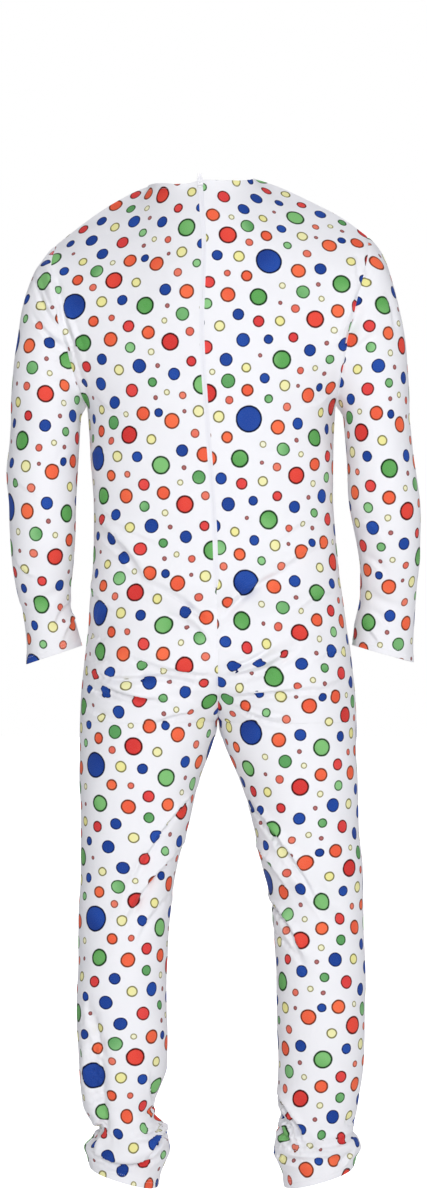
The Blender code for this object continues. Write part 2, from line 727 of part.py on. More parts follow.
def edge_pull(edge, inside, out, closed):
    """How far each point of an edge moves back from its seam, so that the gap is even."""
    steps = np.diff(edge, axis=0)
    between = 0.5 * (out[1:] + out[:-1])
    toward = 0.5 * (inside[1:] + inside[:-1] - edge[1:] - edge[:-1])
    away = np.cross(steps, between)
    away /= np.maximum(np.linalg.norm(away, axis=1, keepdims=True), 1e-9)
    away *= np.sign((away * toward).sum(axis=1, keepdims=True))
    before = np.concatenate([away[-1:] if closed else away[:1], away])
    after = np.concatenate([away, away[:1] if closed else away[-1:]])
    together = 1 + (before * after).sum(axis=1, keepdims=True)
    return (before + after) / np.maximum(together, 0.6)


def drawn_back(grid, out, closed):
    """A panel with its edges drawn back from the seams by half the seam gap."""
    moved = grid.copy()
    half = SEAM_GAP / 2
    for end, inside in ((0, 1), (-1, -2)):
        moved[end] += half * edge_pull(grid[end], grid[inside], out[end], closed)
    if not closed:
        for end, inside in ((0, 1), (-1, -2)):
            moved[:, end] += half * edge_pull(grid[:, end], grid[:, inside], out[:, end], False)
    return moved


def wall(name, grid, out, thickness, closed):
    """A closed wall on a grid of points. thickness is how deep it goes inwards at each row."""
    rows, columns = grid.shape[:2]
    if closed:
        columns -= 1
    outer = grid + out * CLOTH / 2
    inner = grid + out * (CLOTH / 2 - thickness[:, None, None])
    mesh = bmesh.new()
    layers = [
        [[mesh.verts.new(p * MM) for p in row[:columns]] for row in layer]
        for layer in (outer, inner)
    ]
    last = columns if closed else columns - 1
    for i in range(rows - 1):
        for j in range(last):
            k = (j + 1) % columns
            corners = ((i, j), (i, k), (i + 1, k), (i + 1, j))
            one = np.linalg.norm(grid[i, j] - grid[i + 1, k])
            other = np.linalg.norm(grid[i, k] - grid[i + 1, j])
            halves = ((0, 1, 2), (0, 2, 3)) if one <= other else ((0, 1, 3), (1, 2, 3))
            for half in halves:
                places = [corners[c] for c in half]
                mesh.faces.new([layers[0][r][c] for r, c in places])
                mesh.faces.new([layers[1][r][c] for r, c in places[::-1]])
    pairs = []
    for i in (0, rows - 1):
        pairs += [((i, j), (i, (j + 1) % columns)) for j in range(last)]
    if not closed:
        for j in (0, columns - 1):
            pairs += [((i, j), (i + 1, j)) for i in range(rows - 1)]
    for (i, j), (m, n) in pairs:
        mesh.faces.new([layers[0][i][j], layers[0][m][n], layers[1][m][n]])
        mesh.faces.new([layers[0][i][j], layers[1][m][n], layers[1][i][j]])
    bmesh.ops.recalc_face_normals(mesh, faces=mesh.faces)
    if mesh.calc_volume(signed=True) < 0:
        bmesh.ops.reverse_faces(mesh, faces=mesh.faces)
    return add_object(name, mesh, "cloth")


def hem_thickness(grid):
    """How deep the wall goes at each row: more where the end is turned up and stitched."""
    depth = np.full(len(grid), CLOTH)
    depth[-2:] = HEM_CLOTH
    return depth


def add_object(name, mesh, colour):
    """A named object from a bmesh, with its finish."""
    data = bpy.data.meshes.new(name)
    mesh.to_mesh(data)
    mesh.free()
    data.shade_smooth()
    data.set_sharp_from_angle(angle=math.radians(50))
    data.materials.append(finish(name, colour))
    thing = bpy.data.objects.new(name, data)
    bpy.context.scene.collection.objects.link(thing)
    return thing


def finish(name, colour):
    """The plain finish of one piece."""
    made = bpy.data.materials.new(name)
    made.use_nodes = True
    shader = made.node_tree.nodes["Principled BSDF"]
    shader.inputs["Base Color"].default_value = (*COLOURS[colour], 1)
    shader.inputs["Roughness"].default_value = 0.35 if colour == "enamel" else 0.75
    return made


def zip_sections(panels, out):
    """Points and outward directions across the zip, from the neck edge to where it closes.

    Each section has the edge of the left panel, the edge of the right panel, and the
    next column of each, where the tape ends.
    """
    left, right = panels["back_left"], panels["back_right"]
    open_width = np.linalg.norm(left[:, 0] - right[:, 0], axis=1)
    last = int(np.flatnonzero(open_width < ZIP_SHUT_WIDTH)[0])
    parts = {}
    for word in ("left", "right"):
        for kind, values in (("", panels["back_" + word]), ("_out", out["back_" + word])):
            for column_name, k in ((word + kind, 0), (word + "_far" + kind, 1)):
                parts[column_name] = values[:last, k]
    return parts


def bar(name, lines, colour):
    """A closed bar through sections, each a ring of points. lines has a line of points for each corner."""
    mesh = bmesh.new()
    rings = [[mesh.verts.new(p * MM) for p in ring] for ring in np.stack(lines, axis=1)]
    count = len(lines)
    for one, two in zip(rings[:-1], rings[1:]):
        for k in range(count):
            mesh.faces.new([one[k], one[(k + 1) % count], two[(k + 1) % count], two[k]])
    mesh.faces.new(rings[0])
    mesh.faces.new(rings[-1][::-1])
    bmesh.ops.triangulate(mesh, faces=mesh.faces)
    bmesh.ops.recalc_face_normals(mesh, faces=mesh.faces)
    return add_object(name, mesh, colour)


def add_zip(panels, out):
    """The two tapes under the back panels and the chain between their edges."""
    parts = zip_sections(panels, out)
    middle = 0.5 * (parts["left"] + parts["right"])
    middle_out = 0.5 * (parts["left_out"] + parts["right_out"])
    across = parts["right"] - parts["left"]
    across /= np.linalg.norm(across, axis=1, keepdims=True)
    high = -(CLOTH / 2 + SEAM_GAP)
    for word, side in (("left", -1), ("right", 1)):
        near = middle + across * side * SEAM_GAP / 2
        points = (near, parts[word], parts[word + "_far"])
        outs = (middle_out, parts[word + "_out"], parts[word + "_far_out"])
        upper = [p[1:] + o[1:] * high for p, o in zip(points, outs)]
        under = [p[1:] + o[1:] * (high - TAPE_THICK) for p, o in zip(points, outs)]
        bar("zip_tape_" + word, upper + under[::-1], "tape")
    share = CHAIN_TOP / np.linalg.norm(middle[1] - middle[0])
    for values in (middle, middle_out, across):
        values[0] += (values[1] - values[0]) * share
    low = high + SEAM_GAP
    corners = ((-1, low), (1, low), (1, low + CHAIN_THICK), (-1, low + CHAIN_THICK))
    lines = [middle + across * CHAIN_HALF * x + middle_out * y for x, y in corners]
    bar("zip_chain", lines, "chain")
    return middle, across


def zip_frame(middle, across):
    """A frame at the top of the chain: Y out of the back, Z up along the zip."""
    up = middle[0] - middle[1]
    up /= np.linalg.norm(up)
    side = -across[0] + up * (across[0] @ up)
    side /= np.linalg.norm(side)
    away = np.cross(up, side)
    frame = Matrix.Identity(4)
    for k in range(3):
        frame[k][0], frame[k][1], frame[k][2] = side[k], away[k], up[k]
        frame[k][3] = middle[0][k] * MM
    return frame


def joined(name, blocks, frame, colour):
    """One solid from boxes that overlap, given by their low and high corners in the zip's frame."""
    first = None
    for k, (low, high) in enumerate(blocks):
        mesh = bmesh.new()
        for vert in bmesh.ops.create_cube(mesh, size=1)["verts"]:
            vert.co = [
                ((low[a] + high[a]) / 2 + vert.co[a] * (high[a] - low[a])) * MM
                for a in range(3)
            ]
        thing = add_object(name if first is None else f"{name}_block_{k}", mesh, colour)
        thing.matrix_world = frame
        if first is None:
            first = thing
            continue
        thing.hide_render = True
        thing.display_type = "WIRE"
        union = first.modifiers.new(f"join_{k}", "BOOLEAN")
        union.operation = "UNION"
        union.solver = "EXACT"
        union.object = thing
    return first


def add_slider(frame):
    """The slider, with the arch that its pull tab hangs from."""
    s, c = SLIDER, CROWN
    half_w, half_h = s["width"] / 2, s["height"] / 2
    top, under = s["top"], s["under"]
    arch_low, arch_high = top + s["plate"], top + s["plate"] + c["rise"]
    foot = c["length"] / 2
    lap = BLOCK_OVERLAP
    blocks = (
        ((-half_w, top, -half_h), (half_w, arch_low, half_h)),
        ((-half_w, under - s["plate"], -half_h), (half_w, under, half_h)),
        ((-s["post"] / 2, under - lap, s["post_low"]), (s["post"] / 2, top + lap, half_h - lap)),
        ((-c["width"] / 2, arch_low - lap, -foot), (c["width"] / 2, arch_high, -foot + c["bar"])),
        ((-c["width"] / 2, arch_low - lap, foot - c["bar"]), (c["width"] / 2, arch_high, foot)),
        ((-c["width"] / 2, arch_high - c["bar"], -foot), (c["width"] / 2, arch_high, foot)),
    )
    soften(joined("zip_slider", blocks, frame, "enamel"))


def add_pull(frame):
    """The pull tab, standing up above the neck edge as it is worn. It turns on its bar."""
    t = TAB
    half, eye, low = t["width"] / 2, t["eye"] / 2, t["bar"] / 2
    y = SLIDER["top"] + SLIDER["plate"] + (CROWN["rise"] - CROWN["bar"]) / 2
    outline = ((-half, -low), (half, -low), (half, t["length"]), (-half, t["length"]))
    hole = ((-eye, low), (eye, low), (eye, t["eye_length"]), (-eye, t["eye_length"]))
    mesh = bmesh.new()
    outer, inner = (
        [
            [mesh.verts.new((x * MM, side * t["thick"] / 2 * MM, z * MM)) for x, z in line]
            for side in (-1, 1)
        ]
        for line in (outline, hole)
    )
    for k in range(4):
        n = (k + 1) % 4
        for side in (0, 1):
            mesh.faces.new([outer[side][k], outer[side][n], inner[side][n], inner[side][k]])
        mesh.faces.new([outer[0][k], outer[0][n], outer[1][n], outer[1][k]])
        mesh.faces.new([inner[0][k], inner[0][n], inner[1][n], inner[1][k]])
    bmesh.ops.recalc_face_normals(mesh, faces=mesh.faces)
    thing = add_object("zip_pull", mesh, "enamel")
    thing.matrix_world = frame @ Matrix.Translation((0, y * MM, 0))
    soften(thing)


def soften(thing):
    """Takes the sharpness off a hard piece's edges."""
    soft = thing.modifiers.new("soft_edges", "BEVEL")
    soft.width = EDGE_EASE * MM
    soft.segments = 1
    soft.limit_method = "ANGLE"


def main():
    for thing in list(bpy.data.objects):
        bpy.data.objects.remove(thing)
    grids = all_grids()
    chosen = {name: coarse(name, grid) for name, grid in grids.items()}
    out = outward(chosen)
    for name, grid in chosen.items():
        closed = name.startswith("sleeve")
        ready = drawn_back(grid, out[name], closed)
        wall(name, ready, out[name], hem_thickness(grid), closed)
    middle, across = add_zip(chosen, out)
    frame = zip_frame(middle, across)
    add_slider(frame)
    add_pull(frame)


main()
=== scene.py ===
"""The looks of a white costume jumpsuit, printed with spots in several colours.

+X is to the wearer's right, +Y out of the wearer's front and +Z up, in metres. The
tables are in millimetres. Each cloth panel is worked out as a grid of points with the
same sizes as its solid, then made finer, given its folds and laid flat, so that the
print keeps its true size on the cloth and is cut at the seams.
"""

import math

import bpy
import numpy as np
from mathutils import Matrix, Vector


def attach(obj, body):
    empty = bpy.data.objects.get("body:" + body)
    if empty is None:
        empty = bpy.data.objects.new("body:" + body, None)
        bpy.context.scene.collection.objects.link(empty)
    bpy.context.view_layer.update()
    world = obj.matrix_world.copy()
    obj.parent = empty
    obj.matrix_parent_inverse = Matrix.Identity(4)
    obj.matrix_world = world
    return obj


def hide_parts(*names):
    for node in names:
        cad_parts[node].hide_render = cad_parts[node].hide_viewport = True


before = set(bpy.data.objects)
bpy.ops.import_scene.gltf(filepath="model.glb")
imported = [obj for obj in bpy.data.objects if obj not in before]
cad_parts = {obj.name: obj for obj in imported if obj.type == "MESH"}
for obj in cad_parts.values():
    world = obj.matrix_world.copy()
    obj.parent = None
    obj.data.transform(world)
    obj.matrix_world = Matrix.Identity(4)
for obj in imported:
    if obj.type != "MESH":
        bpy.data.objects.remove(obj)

MM = 0.001

HEM_DEPTH = 14.0
MITRE_LIMIT = 2.0
CHAIN_TOP = 8.0
ZIP_OPEN_HALF = 3.6
ZIP_END_Z = -612.0
ZIP_END_FADE = 20.0
ZIP_SHUT = 1.2
ZIP_CLOSE_LENGTH = 14.0

# Heights of the places where panels meet
ARMPIT_Z = -337.0
CROTCH_Z = -806.0
HEM_Z = -1488.0
HEM_TILT_START_Z = -1380.0

# Neck opening and shoulder seam
NECK_HALF_WIDTH = 81.0
NECK_POINT_Y = 5.0
NECK_BACK = {"y": -75.0, "z": -2.0, "power": 2.0}
NECK_FRONT = {"y": 68.0, "z": -78.0, "power": 1.4}
SHOULDER_POINT = {"x": 236.0, "y": 0.0, "z": -95.0}
SHOULDER_BOW = 7.0
SHOULDER_POWER = 1.12

# The least distance of the cloth from the middle of the body, beside a seam there
LEG_GAP = 1.3

# How far up the body the two halves draw together above the crotch
SEAT_CLEFT = 150.0
FRONT_CLEFT = 105.0

# Squareness of the body and leg sections: 2 is an ellipse
BODY_POWER = 2.45
LEG_POWER = 2.15

# The body and legs, a row for each section of one half: how far the inner and outer
# edges are from the middle of the body, and how far out the front and back reach
HALF_COLUMNS = ("z", "inner", "outer", "front", "back", "seam_y")
RIGHT_HALF = (
    (-337, 0, 187, 120, -127, 0),
    (-420, 0, 181, 117, -122, 0),
    (-480, 0, 179, 114, -116, 0),
    (-540, 0, 182, 113, -114, 0),
    (-600, 0, 187, 114, -120, 0),
    (-660, 0, 193, 114, -131, 0),
    (-720, 0, 202, 112, -132, 0),
    (-780, 0, 207, 110, -118, 0),
    (-806, 0, 208, 108, -110, -2),
    (-840, 9, 208, 106, -104, -3),
    (-900, 34, 209, 100, -97, -4),
    (-960, 52, 211, 94, -90, -3),
    (-1020, 66, 217, 88, -82, 0),
    (-1080, 80, 218, 80, -74, 2),
    (-1140, 85, 219, 71, -76, 0),
    (-1200, 87, 221, 63, -83, -6),
    (-1260, 89, 220, 58, -84, -10),
    (-1320, 90, 217, 55, -78, -10),
    (-1365, 88, 211, 54, -71, -8),
    (-1400, 92, 206, 53, -66, -6),
    (-1424, 87, 201, 57, -62, -4),
    (-1440, 83, 211, 64, -70, -3),
    (-1455, 89, 215, 66, -68, -2),
    (-1470, 96, 208, 64, -62, -1),
    (-1488, 99, 203, 66, -62, 0),
)
LEFT_HALF = (
    (-337, 0, 187, 120, -127, 0),
    (-420, 0, 182, 117, -122, 0),
    (-480, 0, 180, 114, -116, 0),
    (-540, 0, 182, 113, -114, 0),
    (-600, 0, 187, 114, -120, 0),
    (-660, 0, 192, 114, -131, 0),
    (-720, 0, 201, 112, -132, 0),
    (-780, 0, 206, 110, -118, 0),
    (-806, 0, 207, 108, -110, -2),
    (-840, 8, 207, 106, -104, -3),
    (-900, 29, 208, 100, -97, -4),
    (-960, 44, 206, 94, -90, -3),
    (-1020, 60, 206, 88, -82, 0),
    (-1080, 69, 209, 80, -74, 2),
    (-1140, 75, 210, 71, -76, 0),
    (-1200, 77, 212, 63, -83, -6),
    (-1260, 75, 211, 58, -84, -10),
    (-1320, 76, 209, 55, -78, -10),
    (-1365, 90, 205, 54, -71, -8),
    (-1387, 95, 201, 53, -66, -6),
    (-1410, 79, 190, 58, -68, -4),
    (-1424, 75, 180, 62, -72, -3),
    (-1440, 71, 190, 60, -68, -3),
    (-1455, 77, 202, 62, -64, -2),
    (-1470, 84, 197, 64, -60, -1),
    (-1488, 89, 192, 66, -62, 0),
)

# How far the outer side of each leg's hem is lifted by the foot
HEM_RISE = 15.0

# The stance: how far each level is moved sideways, and how far it is turned
STANCE_COLUMNS = ("z", "shift", "turn")
STANCE = (
    (0, -17, -2.0),
    (-60, -8, -4.5),
    (-120, -2, -5.5),
    (-230, -5, -5.0),
    (-337, -3, -3.5),
    (-450, 0, -1.0),
    (-540, 3, 0.0),
    (-660, 6, 0.0),
    (-806, 7.5, 0.0),
    (-1488, 7.5, 0.0),
)

# How much each place on the shoulders is lifted, as the left one hangs lower and flatter
LIFT_COLUMNS = ("x", "lift")
SHOULDER_LIFT = (
    (-262, 10),
    (-231, 2),
    (-190, -3),
    (-150, -5),
    (-107, -5),
    (-50, -1),
    (0, 2),
    (53, 6),
    (100, 7),
    (153, 8),
    (190, 11),
    (215, 12),
    (262, 11),
)
LIFT_FULL_Z = -110.0
LIFT_END_Z = -290.0

# Centre lines of the upper body, from the neck opening to the level of the armpits
PROFILE_COLUMNS = ("z", "y")
BACK_PROFILE = ((-2, -75), (-55, -97), (-120, -117), (-200, -128), (-280, -130), (-337, -127))
FRONT_PROFILE = ((-78, 68), (-120, 88), (-180, 106), (-250, 118), (-300, 121), (-337, 120))

# The armhole, from the shoulder point to the armpit
ARMHOLE_COLUMNS = ("z", "x", "y")
ARMHOLE_BACK = (
    (-95, 236, 0),
    (-118, 237, -34),
    (-160, 231, -62),
    (-215, 219, -75),
    (-270, 205, -66),
    (-312, 194, -38),
    (-337, 187, 0),
)
ARMHOLE_FRONT = (
    (-95, 236, 0),
    (-118, 232, 32),
    (-160, 222, 58),
    (-215, 210, 72),
    (-270, 200, 64),
    (-312, 192, 36),
    (-337, 187, 0),
)

# The sleeves, a row for each section below the armpit. rise is how much higher the
# inner side of the section is than its outer side
SLEEVE_COLUMNS = ("z", "inner", "outer", "y", "half_depth", "rise")
RIGHT_SLEEVE = (
    (-356, 196, 295, -11, 66, 0),
    (-390, 199, 299, -13, 65, 0),
    (-430, 202, 304, -14, 62, 0),
    (-478, 204, 310, -13, 59, 0),
    (-518, 211, 311, -7, 57, 2),
    (-556, 218, 311, 0, 54, 5),
    (-588, 222, 308, 8, 51, 8),
    (-622, 222, 306, 17, 48, 12),
    (-646, 219, 305, 23, 47, 17),
    (-673, 214, 304, 29, 48, 22),
    (-706, 212, 303, 35, 49, 26),
)
LEFT_SLEEVE = (
    (-356, 198, 303, 11, 66, 0),
    (-390, 200, 305, 7, 65, 0),
    (-430, 202, 310, 1, 62, 0),
    (-483, 204, 305, -6, 58, 0),
    (-540, 206, 303, -4, 55, 3),
    (-577, 209, 299, 5, 51, 7),
    (-618, 213, 291, 15, 47, 12),
    (-646, 213, 284, 22, 45, 17),
    (-668, 207, 282, 28, 46, 21),
    (-708, 198, 281, 35, 48, 28),
)
SLEEVE_STANCE = -1.0
CAP_OUT = 1.0
CAP_DOWN = 0.66

# Folds that show from a step away. Each runs between two places on one face of the
# suit, bows sideways by bow, is width across and stands out by height, or in if less
# than 0
FOLD_COLUMNS = ("face", "x0", "z0", "x1", "z1", "bow", "width", "height")
FOLDS = (
    ("back", -168, -505, -40, -590, 12, 30, 4.5),
    ("back", -150, -560, -12, -668, 16, 24, -5.0),
    ("back", -178, -640, -20, -690, 10, 22, 4.0),
    ("back", 150, -555, 20, -625, -10, 26, -4.5),
    ("back", 172, -600, 28, -668, -10, 24, 4.0),
    ("back", -150, -722, -6, -748, 6, 15, -6.0),
    ("back", -178, -742, -30, -772, 6, 15, 5.5),
    ("back", -120, -772, -8, -770, -4, 12, -4.0),
    ("back", 10, -744, 150, -706, 8, 15, -6.0),
    ("back", 16, -724, 165, -668, 10, 16, 5.0),
    ("back", 14, -764, 178, -764, -8, 14, 4.5),
    ("back", 8, -660, 8, -760, 0, 16, -5.0),
    ("back", -272, -150, -205, -300, -10, 22, -7.0),
    ("back", -246, -130, -215, -250, 8, 18, 5.0),
    ("back", 240, -120, 190, -310, 10, 22, -7.0),
    ("back", 222, -150, 178, -290, 6, 18, 5.0),
    ("back", 70, -1000, 180, -1110, -10, 20, 6.0),
    ("back", 92, -1010, 200, -1098, -8, 16, -4.5),
    ("back", 90, -1110, 150, -1160, -4, 16, 4.0),
    ("back", -50, -985, -150, -1105, 10, 20, 6.0),
    ("back", -62, -1020, -120, -1100, 6, 16, -4.5),
    ("back", -176, -1250, -158, -1420, 10, 16, -9.0),
    ("back", -196, -1240, -190, -1380, -4, 18, 5.0),
    ("back", -150, -1424, -62, -1386, 6, 14, -8.0),
    ("back", -165, -1446, -70, -1430, 6, 14, 6.0),
    ("back", 100, -1396, 160, -1452, -6, 14, -7.0),
    ("back", 104, -1455, 214, -1446, 5, 12, -6.0),
    ("back", 96, -1432, 200, -1430, 4, 14, 5.0),
    ("front", -160, -520, -30, -640, 12, 28, 4.5),
    ("front", 165, -540, 30, -650, -12, 28, 4.5),
    ("front", -150, -690, -14, -775, 10, 20, -5.0),
    ("front", 150, -685, 16, -775, -10, 20, -5.0),
    ("front", -165, -745, -20, -795, 6, 18, 4.5),
    ("front", 165, -745, 30, -795, -6, 18, 4.5),
    ("front", -230, -150, -170, -320, -10, 22, -6.0),
    ("front", 226, -150, 168, -320, 10, 22, -6.0),
    ("front", 90, -1030, 190, -1085, -6, 20, -5.0),
    ("front", 95, -1105, 185, -1140, -6, 18, 5.0),
    ("front", -85, -1030, -180, -1090, 6, 20, -5.0),
    ("front", -85, -1110, -180, -1150, 6, 18, 5.0),
    ("front", -180, -1360, -80, -1400, 8, 16, -6.0),
    ("front", -185, -1400, -85, -1436, 8, 15, 6.0),
    ("front", 92, -1360, 196, -1400, -8, 16, -6.0),
    ("front", 92, -1412, 205, -1440, -8, 15, 6.0),
    ("front", 100, -1440, 205, -1466, -8, 12, -5.0),
    ("front", -300, -470, -215, -500, 6, 18, -5.0),
    ("front", 300, -475, 215, -505, -6, 18, -5.0),
    ("front", -300, -510, -215, -530, 6, 16, 4.0),
    ("front", 302, -515, 222, -540, -6, 16, 4.0),
    ("back", -296, -640, -215, -600, 6, 14, -4.0),
    ("back", 300, -640, 226, -612, -6, 14, -4.0),
)

# Where the legs, or the arms and the body, are close together, the folds stay low
CLOSE_LEGS = {"top": -640.0, "low": -1000.0, "room": 45.0}
CLOSE_ARMS = {"top": -250.0, "low": -560.0, "x": 192.0, "room": 26.0}

# Rows and columns of the first grids
FINE_COLUMNS = 36
FINE_UPPER_ROWS = 64
FINE_ROW_STEP = 5.0
FINE_CAP_ROWS = 40
NECK_SHARE = 16.0 / 36.0
EASE_BELOW = 14
EASE_TIMES = 160

# Places beside each edge of a panel, in steps of its grid, where extra points are kept
EDGE_PLACES = (0.0, 0.12, 0.35, 0.7)
HEM_PLACES = (0.0, 0.15, 0.4, 0.7, 1.0, 1.25, 1.45, 1.65, 1.9, 2.15, 2.35, 2.6, 2.8, 3.0, 3.3)

# The cloth dips this far into a seam, and this wide on each side of it
SEAM_DIP = 1.1
SEAM_DIP_WIDTH = 1.8

# Turned edges and their stitching, in from the edge
TURN_RADIUS = 0.6
TURN_STEPS = 4
NECK_TURN_DEPTH = 9.0
STITCH_LINES = (7.0, 11.5)
HEM_STEP = 0.8
HEM_STEP_WIDTH = 1.6
HEM_REACH = 1.3
STITCH_DIP = 0.45
STITCH_DIP_WIDTH = 0.9
# The light pucker beside the stitches: its height and width, and the length of its waves and of their drift
HEM_PUCKER = 0.22
PUCKER_WIDTH = 6.0
PUCKER_WAVE = 2.9
PUCKER_DRIFT = (1.7, 17.0)
NECK_STITCH = 7.0
STITCH = {"pitch": 3.0, "length": 2.3, "width": 0.45, "rise": 0.15}
STITCH_SUNK = 0.1
STITCH_CROWN = 0.4

# How the flat panels are evened out: over how many points at a time, and how often
FLAT_STEPS = ((12, 400), (6, 250), (3, 150), (1, 60))
FLAT_PULL = 1.7

# Slow swells of the cloth: length, tilt in degrees and size
SWELLS = ((210.0, 25.0, 0.9), (130.0, 100.0, 0.6), (74.0, 60.0, 0.35))
SWELL_STRETCH = 1.7
SWELL_DEPTH = 0.7

# Near the seat's seam small folds are held down over this distance. Beside a neighbour a fold
# keeps at least this share of its height
SEAT_ROOM = 22.0
LEAST_ROOM = 0.25

# A fold's form: the share of its width that its ridge takes, how its ends taper, and the
# pressed line at the foot of its steep side, which is at least FOOT_WIDTH wide
FOLD_SHARE = 0.6
FOLD_ENDS = (0.03, 0.97)
FOLD_TAPER = 0.6
FOLD_REACH = 2.4
FOOT_WIDTH = 3.0
FOOT = {"width": 0.3, "place": 0.62, "depth": 0.45}

# How far the back of the neck's edge sags, by its place across, and how far down the cloth follows
NECK_SLACK = (
    (-94, 0), (-85, 1), (-71, 4), (-58, 7.5), (-39, 8.5), (-27, 6.5), (-18, 4),
    (-10, 4.5), (10, 6.7), (38, 8), (54, 5.5), (63, 2.5), (75, 0),
)
NECK_SLACK_REACH = 55.0
NECK_SLACK_BACK = 30.0

